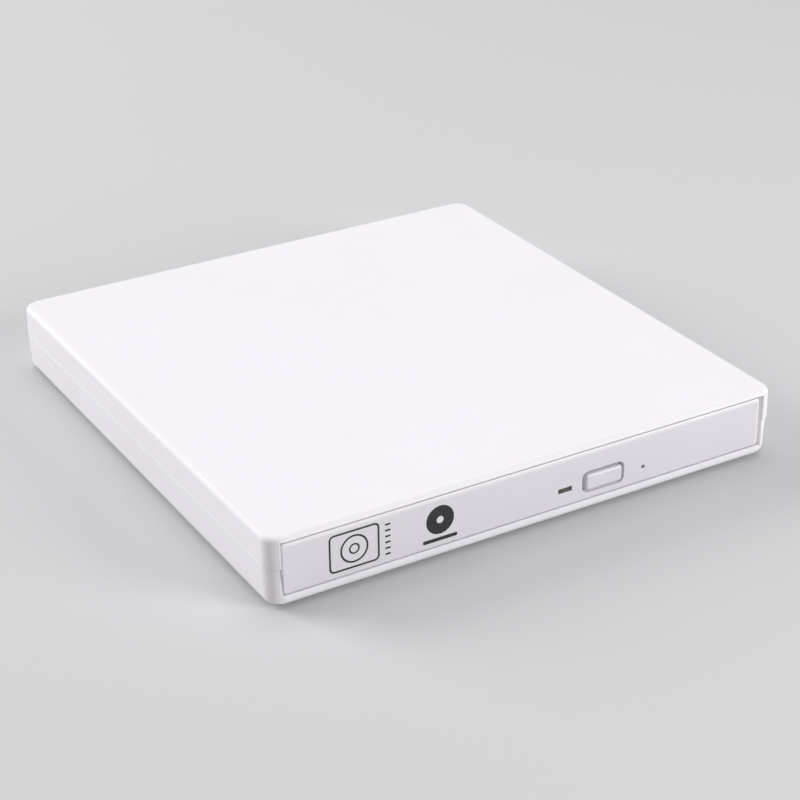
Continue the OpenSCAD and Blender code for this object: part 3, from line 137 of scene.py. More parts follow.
class Net:
    """A node tree with one method that adds any node."""

    def __init__(self, tree: bpy.types.NodeTree) -> None:
        """Keeps the tree."""
        self.tree = tree

    def node(self, kind: str, settings: Settings = None, inputs: Inputs = None) -> bpy.types.Node:
        """Adds a node.

        Args:
            kind: The node's type.
            settings: Its properties, set first.
            inputs: Values or links of its sockets, by name or number.

        Returns:
            The new node.
        """
        made = self.tree.nodes.new(kind)
        for key, value in (settings or {}).items():
            setattr(made, key, value)
        for key, value in (inputs or {}).items():
            self.feed(made.inputs[key], value)
        return made

    def out(self, kind: str, settings: Settings = None, inputs: Inputs = None) -> bpy.types.NodeSocket:
        """Adds a node as above, and gives its first output."""
        return self.node(kind, settings, inputs).outputs[0]

    def feed(self, socket: bpy.types.NodeSocket, value: Any) -> None:
        """Links or sets one input socket.

        Args:
            socket: The input.
            value: A field, a socket, a colour or a number.
        """
        source = value.socket if isinstance(value, Field) else value
        if isinstance(source, bpy.types.NodeSocket):
            self.tree.links.new(source, socket)
        elif socket.type == "RGBA" and len(source) == 3:
            socket.default_value = (*source, 1.0)
        else:
            socket.default_value = source


class Shade(Net):
    """A material's node tree, in Object coordinates."""

    def __init__(self, name: str) -> None:
        """Makes an empty material.

        Args:
            name: The material's name.
        """
        self.material = bpy.data.materials.new(name)
        self.material.use_nodes = True
        super().__init__(self.material.node_tree)
        self.tree.nodes.clear()
        self.place = self.node("ShaderNodeTexCoord").outputs["Object"]

    def axes(self) -> Tuple[Field, Field, Field]:
        """The three coordinates, in metres."""
        split = self.node("ShaderNodeSeparateXYZ", None, {0: self.place})
        return tuple(Field(self, out) for out in split.outputs)

    def turned(self, angle: float, stretch: Point) -> Any:
        """Coordinates turned about Z and stretched.

        Args:
            angle: Turn in degrees.
            stretch: Scale of each axis.

        Returns:
            The vector socket.
        """
        turn = (0.0, 0.0, math.radians(-angle))
        spun = self.out("ShaderNodeMapping", None, {"Vector": self.place, "Rotation": turn})
        return self.out("ShaderNodeVectorMath", {"operation": "MULTIPLY"}, {0: spun, 1: stretch})

    def noise(self, grain: float, detail: float = 2.0, vector: Any = None) -> Field:
        """Noise of a given grain.

        Args:
            grain: Size of a blotch, in metres.
            detail: Octaves.
            vector: Coordinates, or none for the plain ones.

        Returns:
            The noise, about 0 to 1.
        """
        return Field(self, self.out("ShaderNodeTexNoise", {"noise_dimensions": "3D"}, {
            "Vector": vector or self.place, "Scale": 1.0 / grain, "Detail": detail, "Roughness": OCTAVE_SHARE,
        }))

    def cells(self, size: float, output: str = "Distance", metric: str = "EUCLIDEAN") -> Field:
        """Distance to scattered points, or a random value for each cell.

        Args:
            size: Spacing of the points, in metres.
            output: Which output.
            metric: How distance is measured.

        Returns:
            The value.
        """
        inputs = {"Vector": self.place, "Scale": 1.0 / size}
        made = self.node("ShaderNodeTexVoronoi", {"distance": metric}, inputs)
        out = made.outputs[output]
        if output == "Color":
            out = self.out("ShaderNodeSeparateColor", None, {0: out})
        return Field(self, out)

    def mix(self, factor: Any, first: Any, second: Any) -> Any:
        """Mix of two colours or colour sockets, by the second one's share."""
        made = self.node("ShaderNodeMix", {"data_type": "RGBA"}, {0: factor, 6: first, 7: second})
        return made.outputs[2]

    def bump(self, height: Field, depth: float) -> Any:
        """Normal socket of a relief from 0 to 1, with its depth in metres."""
        return self.out("ShaderNodeBump", None, {"Height": height, "Distance": depth, "Strength": 1.0})

    def surface(self, inputs: Dict[str, Any]) -> bpy.types.Material:
        """Closes the tree with one surface shader.

        Args:
            inputs: The shader's sockets.

        Returns:
            The material.
        """
        shader = self.out("ShaderNodeBsdfPrincipled", None, inputs)
        self.node("ShaderNodeOutputMaterial", None, {"Surface": shader})
        return self.material


@dataclass(frozen=True)
class Finish(ABC):
    """A finish that makes its material once."""

    name: str
    made: ClassVar[Dict["Finish", bpy.types.Material]] = {}

    def material(self) -> bpy.types.Material:
        """The material, made on first use."""
        if self not in Finish.made:
            Finish.made[self] = self.dress(Shade(self.name))
        return Finish.made[self]

    @abstractmethod
    def dress(self, shade: Shade) -> bpy.types.Material:
        """Builds the material's nodes."""


@dataclass(frozen=True)
class Moulded(Finish):
    """Moulded plastic: fine mould grain, faint flow clouds, handling marks and stray specks."""

    colour: Colour
    cloud: Colour
    rough: float = 0.42
    grain: float = 0.35
    depth: float = 0.006
    specks: float = 0.0
    gloss: float = 0.5
    # The glow fields paint light: an emission, behind the front, for light let through the white plastic.
    glow: float = 0.0
    painted_glow_y: Pair = (-70.8, -70.2)
    painted_glow_tone: Colour = (1.0, 0.93, 0.9)
    speck_tone: Colour = (0.16, 0.14, 0.13)

    def dress(self, shade: Shade) -> bpy.types.Material:
        """Builds the grain, clouds and specks, and a painted glow that stands in for light let through the
        white plastic.
        """
        fine = shade.noise(self.grain * MM, 3.0)
        broad = shade.noise(26 * MM, 4.0)
        handled = shade.noise(7 * MM, 5.0)
        colour = self.tint(shade, shade.mix(broad.step(0.36, 0.66), self.colour, self.cloud))
        if self.specks:
            dots = shade.cells(7 * MM)
            rare = shade.cells(7 * MM, "Color") > 0.8
            mask = (1.0 - dots.step(0.008, 0.022)) * rare * self.specks
            colour = shade.mix(mask, colour, self.speck_tone)
        rough = self.rough + (handled.step(0.4, 0.7) - 0.5) * 0.07 + (fine - 0.5) * 0.08
        inputs = {
            "Base Color": colour,
            "Roughness": rough,
            "Specular IOR Level": self.gloss,
            "Normal": shade.bump(fine, self.depth * MM),
        }
        # Painted glow: emission that lights the surface behind the front, standing in for light through the
        # plastic.
        if self.glow:
            painted_glow_mask = shade.axes()[1].step(self.painted_glow_y[0] * MM, self.painted_glow_y[1] * MM)
            inputs["Emission Color"] = shade.mix(painted_glow_mask, (0.0, 0.0, 0.0), self.painted_glow_tone)
            inputs["Emission Strength"] = self.glow
        return shade.surface(inputs)

    def tint(self, shade: Shade, colour: Any) -> Any:
        """The moulding's colour before its specks."""
        return colour


@dataclass(frozen=True)
class PaintedLightMoulding(Moulded):
    """Moulded plate with a painted highlight on its upper and right rim, and a painted shadow in the gap above.
    """

    # The rim colour is a painted highlight; the darker colour after it is a painted shadow in the gap above the
    # rim.
    rim: Colour = (0.87, 0.85, 0.89)
    rim_highlight_x: Pair = (63.2, 63.75)
    rim_highlight_z: Pair = (15.0, 16.1)
    painted_shadow: Colour = (0.56, 0.54, 0.55)
    painted_shadow_z: Pair = (16.3, 16.38)

    def tint(self, shade: Shade, colour: Any) -> Any:
        """Paints a highlight on the rim, and a shadow on the top behind it."""
        x, _, z = shade.axes()
        side, rise, shadow_mask = (axis.step(low * MM, high * MM) for axis, (low, high) in (
            (x, self.rim_highlight_x), (z, self.rim_highlight_z), (z, self.painted_shadow_z)))
        pale = shade.mix(side.math("MAXIMUM", side, rise), colour, self.rim)
        return shade.mix(shadow_mask, pale, self.painted_shadow)


@dataclass(frozen=True)
class PressedSteel(Finish):
    """Zinc-plated sheet: faint spangle, rolling lines and dull handling marks."""

    colour: Colour = (0.66, 0.67, 0.68)
    dull: Colour = (0.55, 0.56, 0.57)
    rough: float = 0.3
    lay: float = 0.0

    def dress(self, shade: Shade) -> bpy.types.Material:
        """Builds the spangle and the rolling lines."""
        lines = shade.noise(0.5 * MM, 3.0, shade.turned(self.lay, (0.02, 1.0, 1.0)))
        spangle = shade.cells(3.2 * MM, "Color")
        smear = shade.noise(11 * MM, 4.0)
        tone = shade.mix(smear.step(0.35, 0.7) * 0.7 + spangle * 0.3, self.colour, self.dull)
        rough = self.rough + (smear - 0.5) * 0.14 + (lines - 0.5) * 0.12
        return shade.surface({
            "Base Color": tone,
            "Metallic": 1.0,
            "Roughness": rough,
            "Normal": shade.bump(lines, 0.004 * MM),
        })


@dataclass(frozen=True)
class TurnedMetal(Finish):
    """Turned or ground metal: fine rings and lighter rubbed patches."""

    colour: Colour
    worn: Colour
    rough: float = 0.26

    def dress(self, shade: Shade) -> bpy.types.Material:
        """Builds the tool marks."""
        fine = shade.noise(0.12 * MM, 2.0)
        rubbed = shade.noise(2.5 * MM, 4.0)
        return shade.surface({
            "Base Color": shade.mix(rubbed.step(0.4, 0.65), self.colour, self.worn),
            "Metallic": 1.0,
            "Roughness": self.rough + (rubbed - 0.5) * 0.2,
            "Normal": shade.bump(fine, 0.002 * MM),
        })


@dataclass(frozen=True)
class SolderMask(Finish):
    """Circuit board: lacquer over copper lines that change direction by field, and tinned holes."""

    lacquer: Colour = (0.012, 0.085, 0.04)
    line: Colour = (0.025, 0.16, 0.07)
    tin: Colour = (0.62, 0.62, 0.58)

    def dress(self, shade: Shade) -> bpy.types.Material:
        """Builds the lines and the tinned holes."""
        x, y, _ = shade.axes()
        way = shade.cells(6 * MM, "Color", "CHEBYCHEV")
        along = (x.stripes(0.62 * MM) < 0.2) * (way > 0.5)
        across = (y.stripes(0.62 * MM) < 0.2) * (way < 0.5)
        busy = shade.noise(9 * MM, 2.0) > 0.46
        lines = (along + across) * busy
        u, v = x.stripes(2.5 * MM), y.stripes(2.5 * MM)
        holes = (u * u + v * v < 0.018) * (shade.cells(5 * MM, "Color") > 0.55)
        colour = shade.mix(holes, shade.mix(lines, self.lacquer, self.line), self.tin)
        return shade.surface({
            "Base Color": colour,
            "Metallic": holes * 0.9,
            "Roughness": 0.34 + shade.noise(5 * MM, 3.0) * 0.12,
            "Normal": shade.bump(lines + holes, 0.02 * MM),
        })


@dataclass(frozen=True)
class SoftRubber(Finish):
    """Dull moulded rubber with dust in its pores."""

    colour: Colour = (0.03, 0.03, 0.032)
    dust: Colour = (0.075, 0.072, 0.07)

    def dress(self, shade: Shade) -> bpy.types.Material:
        """Builds the pores and the dust."""
        pores = shade.noise(0.3 * MM, 4.0)
        dusty = shade.noise(3 * MM, 4.0).step(0.45, 0.75)
        return shade.surface({
            "Base Color": shade.mix(dusty, self.colour, self.dust),
            "Roughness": 0.78 + (pores - 0.5) * 0.2,
            "Specular IOR Level": 0.3,
            "Normal": shade.bump(pores, 0.02 * MM),
        })


@dataclass(frozen=True)
class Winding(Finish):
    """Lacquered copper wire, layer beside layer."""

    colour: Colour = (0.72, 0.32, 0.16)
    shadow: Colour = (0.32, 0.11, 0.05)

    def dress(self, shade: Shade) -> bpy.types.Material:
        """Builds the turns."""
        x, _, _ = shade.axes()
        turns = x.stripes(0.28 * MM) * 2.0
        return shade.surface({
            "Base Color": shade.mix(turns, self.shadow, self.colour),
            "Metallic": 0.85,
            "Roughness": 0.3 + shade.noise(1.5 * MM) * 0.15,
            "Normal": shade.bump(turns, 0.06 * MM),
        })


@dataclass(frozen=True)
class FilmRibbon(Finish):
    """Flexible film cable: conductors under amber film."""

    film: Colour = (0.36, 0.15, 0.03)
    conductor: Colour = (0.62, 0.3, 0.09)

    def dress(self, shade: Shade) -> bpy.types.Material:
        """Builds the row of conductors."""
        x, _, _ = shade.axes()
        rows = x.stripes(1.0 * MM) < 0.28
        haze = shade.noise(6 * MM, 3.0)
        return shade.surface({
            "Base Color": shade.mix(rows * (0.7 + haze * 0.3), self.film, self.conductor),
            "Roughness": 0.24 + haze * 0.12,
            "Coat Weight": 0.4 + haze * 0.2,
            "Normal": shade.bump(rows, 0.02 * MM),
        })


@dataclass(frozen=True)
class CoatedLens(Finish):
    """Moulded lens with a faint violet coating."""

    blue: Colour = (0.5, 0.55, 0.78)
    violet: Colour = (0.34, 0.3, 0.6)

    def dress(self, shade: Shade) -> bpy.types.Material:
        """Builds the coating's drift of colour."""
        drift = shade.noise(2 * MM, 2.0)
        return shade.surface({
            "Base Color": shade.mix(drift, self.blue, self.violet),
            "Roughness": 0.04 + drift * 0.03,
            "IOR": 1.52,
            "Transmission Weight": 0.55,
            "Coat Weight": 0.6 + drift * 0.2,
        })


@dataclass(frozen=True)
class SmokedPipe(Finish):
    """Smoked light guide: darker at its top edge, with the lamp's paler core behind it."""

    shadow: Colour = (0.026, 0.019, 0.017)
    core: Colour = (0.112, 0.088, 0.08)
    middle: Point = (7.8 * MM, 0.0, 7.85 * MM)

    def dress(self, shade: Shade) -> bpy.types.Material:
        """Builds the core and its fall toward the edges."""
        x, _, z = shade.axes()
        far = abs(x - self.middle[0]) / (1.9 * MM)
        high = abs(z - self.middle[2]) / (0.6 * MM)
        core = (1.0 - far.step(0.1, 1.0)) * (1.0 - high.step(0.0, 1.3))
        haze = shade.noise(0.4 * MM, 3.0)
        return shade.surface({
            "Base Color": shade.mix(core * 0.8 + haze * 0.2, self.shadow, self.core),
            "Roughness": 0.22 + haze * 0.1,
            "Coat Weight": 0.3 + haze * 0.1,
        })


@dataclass(frozen=True)
class PrintInk(Finish):
    """Pad-printed ink with a slightly uneven film."""

    colour: Colour = (0.012, 0.012, 0.016)
    thin: Colour = (0.035, 0.034, 0.042)

    def dress(self, shade: Shade) -> bpy.types.Material:
        """Builds the film's unevenness."""
        film = shade.noise(0.7 * MM, 4.0)
        return shade.surface({
            "Base Color": shade.mix(film.step(0.4, 0.75), self.colour, self.thin),
            "Roughness": 0.36 + film * 0.16,
            "Normal": shade.bump(film, 0.004 * MM),
        })


class Palette(Enum):
    """Finishes of the drive's pieces."""

    SHELL = Moulded("white_shell", (0.86, 0.842, 0.888), (0.848, 0.828, 0.874), 0.54, 0.3, 0.005,
                    specks=0.35, gloss=0.26)
    # This finish glows: painted light on the opening's sides.
    RETURN = Moulded("return_white_painted_glow", (0.86, 0.84, 0.875), (0.848, 0.826, 0.862), 0.54, 0.3, 0.005,
                     specks=0.35, gloss=0.26, glow=0.14)
    # The bezel's finish paints a highlight on its upper and right rim, and a shadow in the gap above it.
    BEZEL = PaintedLightMoulding("bezel_white_painted_light", (0.728, 0.705, 0.753), (0.717, 0.693, 0.742), 0.36, 0.25, 0.004,
                           specks=0.5)
    DECK = Moulded("tray_grey", (0.052, 0.054, 0.058), (0.043, 0.045, 0.049), 0.5, 0.28, 0.02, 0.0)
    SLIDE = Moulded("slide_acetal", (0.68, 0.68, 0.65), (0.62, 0.62, 0.58), 0.38, 0.3, 0.006)
    CLAW = Moulded("claw_acetal", (0.78, 0.78, 0.76), (0.72, 0.72, 0.69), 0.32, 0.2, 0.004)
    BLACK = Moulded("black_plastic", (0.02, 0.02, 0.021), (0.028, 0.028, 0.03), 0.45, 0.2, 0.01)
    IVORY = Moulded("connector_ivory", (0.62, 0.58, 0.48), (0.56, 0.52, 0.42), 0.42, 0.25, 0.006)
    LAMP = Moulded("lamp_resin", (0.5, 0.62, 0.48), (0.42, 0.55, 0.42), 0.2, 0.4, 0.002)
    STEEL = PressedSteel("plated_sheet")
    RAIL = PressedSteel("plated_rail", rough=0.34, lay=90.0)
    COVER = PressedSteel("plated_cover", (0.7, 0.71, 0.72), (0.6, 0.61, 0.62), 0.34, 90.0)
    SHIELD = PressedSteel("shield_sheet", (0.3, 0.31, 0.32), (0.23, 0.235, 0.24), 0.42, 45.0)
    CHROME = TurnedMetal("ground_rod", (0.74, 0.74, 0.75), (0.82, 0.82, 0.83), 0.14)
    SCREW = TurnedMetal("screw_zinc", (0.46, 0.46, 0.47), (0.62, 0.62, 0.62), 0.32)
    ALLOY = TurnedMetal("cast_alloy", (0.5, 0.51, 0.53), (0.6, 0.61, 0.62), 0.46)
    TABLE = TurnedMetal("turntable_alloy", (0.4, 0.41, 0.42), (0.52, 0.53, 0.54), 0.34)
    GOLD = TurnedMetal("gold_contact", (0.83, 0.6, 0.22), (0.9, 0.7, 0.34), 0.22)
    BOARD = SolderMask("green_board")
    FOOT = SoftRubber("foot_rubber", (0.2, 0.2, 0.205), (0.28, 0.275, 0.27))
    PAD = SoftRubber("pad_rubber")
    COPPER = Winding("copper_winding")
    RIBBON = FilmRibbon("film_ribbon")
    LENS = CoatedLens("coated_lens")
    PIPE = SmokedPipe("smoked_pipe")
    INK = PrintInk("black_ink")


class Growth(Net):
    """A geometry node tree with named inputs, run on one mesh."""

    def __init__(self, name: str, inputs: Dict[str, str], finish: Palette) -> None:
        """Makes the tree's sockets.

        Args:
            name: Name of the tree.
            inputs: Socket type of each named size.
            finish: Finish that the tree sets.
        """
        tree = bpy.data.node_groups.new(name, "GeometryNodeTree")
        super().__init__(tree)
        tree.interface.new_socket("Geometry", in_out="INPUT", socket_type="NodeSocketGeometry")
        for label, kind in inputs.items():
            tree.interface.new_socket(label, in_out="INPUT", socket_type=kind)
        tree.interface.new_socket("Geometry", in_out="OUTPUT", socket_type="NodeSocketGeometry")
        self.start = self.node("NodeGroupInput")
        self.finish = finish

    def close(self, geometry: Any) -> None:
        """Ends the tree with real geometry in its finish.

        Args:
            geometry: The socket that gives the shape.
        """
        real = self.out("GeometryNodeRealizeInstances", None, {0: geometry})
        finish = {"Geometry": real, "Material": self.finish.value.material()}
        self.node("NodeGroupOutput", None, {0: self.out("GeometryNodeSetMaterial", None, finish)})

    def run(self, mesh: Mesh, sizes: Dict[str, Any]) -> Mesh:
        """Grows the tree on a mesh.

        Args:
            mesh: Start mesh.
            sizes: Value of each named input.

        Returns:
            The grown mesh.
        """
        carrier = Workshop.placed("carrier", mesh)
        modifier = carrier.modifiers.new("growth", "NODES")
        modifier.node_group = self.tree
        for item in self.tree.interface.items_tree:
            if item.in_out == "INPUT" and item.name in sizes:
                modifier[item.identifier] = sizes[item.name]
        return Workshop.evaluated(carrier)


class Thread(Growth):
    """Screw thread as a wire wound along Z."""

    def __init__(self, finish: Palette) -> None:
        """Builds the spiral and its wire."""
        sizes = ("Radius", "Turns", "Length", "Wire")
        super().__init__("screw_thread", dict.fromkeys(sizes, "NodeSocketFloat"), finish)
        out = self.start.outputs
        spiral = self.out("GeometryNodeCurveSpiral", None, {
            "Resolution": 24, "Rotations": out["Turns"], "Start Radius": out["Radius"],
            "End Radius": out["Radius"], "Height": out["Length"],
        })
        wire = self.out("GeometryNodeCurvePrimitiveCircle", None, {"Resolution": 8, "Radius": out["Wire"]})
        tube = self.out("GeometryNodeCurveToMesh", None, {
            "Curve": spiral, "Profile Curve": wire, "Fill Caps": True,
        })
        self.close(self.out("GeometryNodeSetShadeSmooth", None, {"Geometry": tube}))


class Repeat(Growth):
    """Copies of one mesh along a step."""

    def __init__(self, finish: Palette) -> None:
        """Builds the row of places and sets the copies on it."""
        super().__init__("repeat", {"Count": "NodeSocketInt", "Step": "NodeSocketVector"}, finish)
        out = self.start.outputs
        places = {"Count": out["Count"], "Offset": out["Step"]}
        row = self.out("GeometryNodeMeshLine", {"mode": "OFFSET"}, places)
        copies = {"Points": row, "Instance": out["Geometry"]}
        self.close(self.out("GeometryNodeInstanceOnPoints", None, copies))


class Workshop:
    """Mesh work that the sub-assemblies share."""

    weld: float = 0.002 * MM
    coplanar: float = math.radians(0.3)
    bevel_steps: int = 3
    fold_share: float = 1.002
    fold_slack: float = 1e-10

    @staticmethod
    def placed(name: str, data: bpy.types.ID) -> bpy.types.Object:
        """Puts a mesh, camera or lamp in the scene.

        Args:
            name: Name of the object.
            data: What it shows.

        Returns:
            The new object.
        """
        made = bpy.data.objects.new(name, data)
        bpy.context.scene.collection.objects.link(made)
        return made

    @staticmethod
    def baked(shape: bmesh.types.BMesh, name: str) -> Mesh:
        """Turns a shape into a plain mesh, and frees the shape.

        Args:
            shape: The shape.
            name: Name of the mesh.

        Returns:
            The plain mesh.
        """
        mesh = bpy.data.meshes.new(name)
        shape.to_mesh(mesh)
        shape.free()
        return mesh

    @staticmethod
    def smooth(mesh: Mesh) -> None:
        """Shades a mesh smooth, apart from its sharp edges."""
        mesh.polygons.foreach_set("use_smooth", [True] * len(mesh.polygons))
        mesh.set_sharp_from_angle(angle=SHARP)

    @staticmethod
    def band(shape: bmesh.types.BMesh, first: Sequence[Any], second: Sequence[Any]) -> None:
        """Joins two rings of points by faces.

        Args:
            shape: Mesh that takes the faces.
            first: First ring.
            second: Second ring, with as many points.
        """
        for i in range(len(first)):
            j = (i + 1) % len(first)
            shape.faces.new(list(dict.fromkeys((first[i], first[j], second[j], second[i]))))

    @staticmethod
    def evaluated(carrier: bpy.types.Object) -> Mesh:
        """Turns an object with modifiers into a plain mesh, and drops the object.

        Args:
            carrier: The object.

        Returns:
            The plain mesh.
        """
        graph = bpy.context.evaluated_depsgraph_get()
        graph.update()
        source = carrier.evaluated_get(graph)
        mesh = bpy.data.meshes.new_from_object(source, preserve_all_data_layers=True, depsgraph=graph)
        bpy.data.objects.remove(carrier)
        return mesh

    @classmethod
    def softened(cls, node: str, edge: float, limit: float) -> Mesh:
        """Copy of a solid with its sharp edges broken.

        Args:
            node: The solid.
            edge: Width of the broken edge, in millimetres.
            limit: Smallest edge angle that is broken, in degrees.

        Returns:
            The new mesh.
        """
        shape = bmesh.new()
        shape.from_mesh(frame["nodes"][node].data)
        bmesh.ops.remove_doubles(shape, verts=shape.verts, dist=cls.weld)
        bmesh.ops.dissolve_limit(shape, angle_limit=cls.coplanar, verts=shape.verts, edges=shape.edges)
        mesh = cls.baked(shape, node)
        cls.smooth(mesh)
        carrier = cls.placed("carrier", mesh)
        bevel = carrier.modifiers.new("edges", "BEVEL")
        bevel.width = edge * MM
        bevel.segments = cls.bevel_steps
        bevel.limit_method = "ANGLE"
        bevel.angle_limit = math.radians(limit)
        bevel.use_clamp_overlap = False
        bevel.loop_slide = False
        soft = cls.evaluated(carrier)
        cls.refill(soft)
        cls.smooth(soft)
        cls.even_normals(soft)
        return soft

    @classmethod
    def refill(cls, mesh: Mesh) -> None:
        """Fills each flat anew from its outlines where its faces overlap.

        Args:
            mesh: The mesh, changed in place.
        """
        shape = bmesh.new()
        shape.from_mesh(mesh)
        shape.faces.ensure_lookup_table()
        spread = [0.0] * len(shape.faces)
        for corners in shape.calc_loop_triangles():
            a, b, c = (corner.vert.co for corner in corners)
            spread[corners[0].face.index] += (b - a).cross(c - a).length / 2
        flats, _ = cls._flats(shape)
        folded = {flats[face.index] for face in shape.faces
                  if spread[face.index] > face.calc_area() * cls.fold_share + cls.fold_slack}
        groups = [[f for f in shape.faces if flats[f.index] == flat] for flat in sorted(folded)]
        for group in groups:
            normal = max(group, key=lambda face: face.calc_area()).normal.copy()
            edges = dict.fromkeys(edge for face in group for edge in face.edges)
            rim = [edge for edge in edges if sum(face in group for face in edge.link_faces) == 1]
            bmesh.ops.delete(shape, geom=group, context="FACES")
            bmesh.ops.triangle_fill(shape, edges=rim, use_beauty=True, use_dissolve=False, normal=normal)
        bmesh.ops.recalc_face_normals(shape, faces=shape.faces)
        shape.to_mesh(mesh)
        shape.free()

    @classmethod
    def even_normals(cls, mesh: Mesh) -> None:
        """Gives each corner the normal of the widest flat beside it, so that flats shade evenly.

        Args:
            mesh: The mesh, changed in place.
        """
        shape = bmesh.new()
        shape.from_mesh(mesh)
        flats, areas = cls._flats(shape)
        corners: Dict[Tuple[int, int], Vector] = {}
        for vert in shape.verts:
            left = list(vert.link_faces)
            while left:
                fan = [left.pop()]
                for face in fan:
                    for edge in vert.link_edges:
                        if edge.smooth and face in edge.link_faces:
                            joined = [other for other in edge.link_faces if other in left]
                            left = [other for other in left if other not in joined]
                            fan.extend(joined)
                widest = {flats[face.index]: face.normal for face in fan}
                total = sum((normal * areas[flat] ** 2 for flat, normal in widest.items()), Vector())
                for face in fan:
                    corners[face.index, vert.index] = total.normalized()
        shape.free()
        mesh.normals_split_custom_set([
            corners[face.index, vert] for face in mesh.polygons for vert in face.vertices
        ])

    @staticmethod
    def _flats(shape: bmesh.types.BMesh) -> Tuple[List[int], List[float]]:
        """Sorts a mesh's faces into flats.

        Args:
            shape: The mesh.

        Returns:
            Each face's flat, and each flat's area in square millimetres.
        """
        flats = [-1] * len(shape.faces)
        areas: List[float] = []
        for seed in shape.faces:
            if flats[seed.index] >= 0:
                continue
            flat = [seed]
            flats[seed.index] = len(areas)
            for face in flat:
                for other in (other for edge in face.edges for other in edge.link_faces):
                    if flats[other.index] < 0 and abs(seed.normal.dot(other.normal)) > FLAT:
                        flats[other.index] = len(areas)
                        flat.append(other)
            areas.append(sum(face.calc_area() for face in flat) / MM ** 2)
        return flats, areas

    @classmethod
    def lathe(cls, profile: Outline, steps: int = 32) -> Mesh:
        """Turned piece along Z, in millimetres.

        Args:
            profile: Radius and height of each point, from the lower pole to the upper one.
            steps: Points around.

        Returns:
            The mesh.
        """
        shape = bmesh.new()
        turns = [2 * math.pi * i / steps for i in range(steps)]
        rings = []
        for radius, z in profile:
            if radius == 0:
                rings.append([shape.verts.new((0.0, 0.0, z * MM))] * steps)
            else:
                spots = [(radius * math.cos(a) * MM, radius * math.sin(a) * MM, z * MM) for a in turns]
                rings.append([shape.verts.new(spot) for spot in spots])
        for low, high in zip(rings, rings[1:]):
            cls.band(shape, low, high)
        return cls.baked(shape, "turned")

    @classmethod
    def strip(cls, path: Outline, across: Pair, thick: float) -> Mesh:
        """Thin strip along a path in Y and Z, in millimetres.

        Args:
            path: Middle line.
            across: Its two edges in X.
            thick: Thickness.

        Returns:
            The mesh.
        """
        shape = bmesh.new()
        rings = []
        for i, (y, z) in enumerate(path):
            before, after = path[max(i - 1, 0)], path[min(i + 1, len(path) - 1)]
            way = Vector((after[0] - before[0], after[1] - before[1])).normalized()
            side = Vector((-way.y, way.x)) * thick / 2
            corners = ((across[0], 1), (across[1], 1), (across[1], -1), (across[0], -1))
            rings.append([
                shape.verts.new((x * MM, (y + s * side.x) * MM, (z + s * side.y) * MM)) for x, s in corners
            ])
        for first, second in zip(rings, rings[1:]):
            cls.band(shape, first, second)
        shape.faces.new(rings[0][::-1])
        shape.faces.new(rings[-1])
        bmesh.ops.recalc_face_normals(shape, faces=shape.faces)
        mesh = cls.baked(shape, "strip")
        cls.smooth(mesh)
        return mesh

    @classmethod
    def joined(cls, meshes: Sequence[Mesh]) -> Mesh:
        """One mesh from several.

        Args:
            meshes: The meshes, in place.

        Returns:
            The joined mesh.
        """
        shape = bmesh.new()
        for mesh in meshes:
            shape.from_mesh(mesh)
        return cls.baked(shape, "joined")

    @classmethod
    def prism(cls, outline: Outline, low: float, high: float) -> Mesh:
        """Solid from an outline in X and Y, in millimetres.

        Args:
            outline: Corner points, anticlockwise.
            low: Height of its underside.
            high: Height of its top.

        Returns:
            The mesh.
        """
        shape = bmesh.new()
        under, over = ([shape.verts.new((x * MM, y * MM, z * MM)) for x, y in outline] for z in (low, high))
        shape.faces.new(under[::-1])
        shape.faces.new(over)
        cls.band(shape, under, over)
        return cls.baked(shape, "prism")


class Edge(float, Enum):
    """Widths of broken edges, in millimetres."""

    HAIR = 0.06
    FINE = 0.08
    SLIGHT = 0.1
    SMALL = 0.12
    PLAIN = 0.15
    BROAD = 0.2
    WIDE = 0.25


@dataclass
class Assembly(ABC):
    """A sub-assembly that dresses its nodes and adds its pieces."""

    @abstractmethod
    def build(self) -> None:
        """Makes and dresses every piece of the sub-assembly."""

    @staticmethod
    def slot_of(node: str) -> str:
        """Material slot that the record gives a node."""
        return next(p["material_slot"] for p in frame["record"]["subparts"] if p["node"] == node)

    @staticmethod
    def enter(piece: bpy.types.Object, slot: str, nodes: Sequence[str] = ()) -> None:
        """Hides the solids that a placed piece stands for, and logs its face count.

        Args:
            piece: The piece.
            slot: Record's material slot; not used.
            nodes: Solids that it replaces.
        """
        if nodes:
            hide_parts(*nodes)
        LOG.info("%s: %d faces", piece.name, len(piece.data.polygons))

    def add(self, name: str, mesh: Mesh, finish: Palette, body: str, slot: str,
            nodes: Sequence[str] = ()) -> bpy.types.Object:
        """Adds a finished piece to a body.

        Args:
            name: Name of the piece.
            mesh: Its mesh, in place.
            finish: Its finish.
            body: Body that it moves with.
            slot: Record's material slot.
            nodes: Solids that it stands for.

        Returns:
            The new object.
        """
        mesh.materials.clear()
        mesh.materials.append(finish.value.material())
        mesh.polygons.foreach_set("material_index", [0] * len(mesh.polygons))
        piece = Workshop.placed(name, mesh)
        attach(piece, body)
        self.enter(piece, slot, nodes)
        return piece

    def soften(self, node: str, finish: Palette, edge: Edge, limit: float = 50.0) -> bpy.types.Object:
        """Replaces a solid by its softened copy.

        Args:
            node: The solid.
            finish: Its finish.
            edge: Width of its broken edges.
            limit: Smallest edge angle that is broken, in degrees.

        Returns:
            The new piece.
        """
        body = frame["nodes"][node]["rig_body"]
        mesh = Workshop.softened(node, edge, limit)
        return self.add(node + "_form", mesh, finish, body, self.slot_of(node), (node,))

    @staticmethod
    def coat(finish: Palette, *nodes: str) -> None:
        """Gives solids a finish as they are.

        Args:
            finish: The finish.
            nodes: The solids.
        """
        for node in nodes:
            slots = frame["nodes"][node].data.materials
            slots.clear()
            slots.append(finish.value.material())
            LOG.info("%s: %s", node, finish.name)


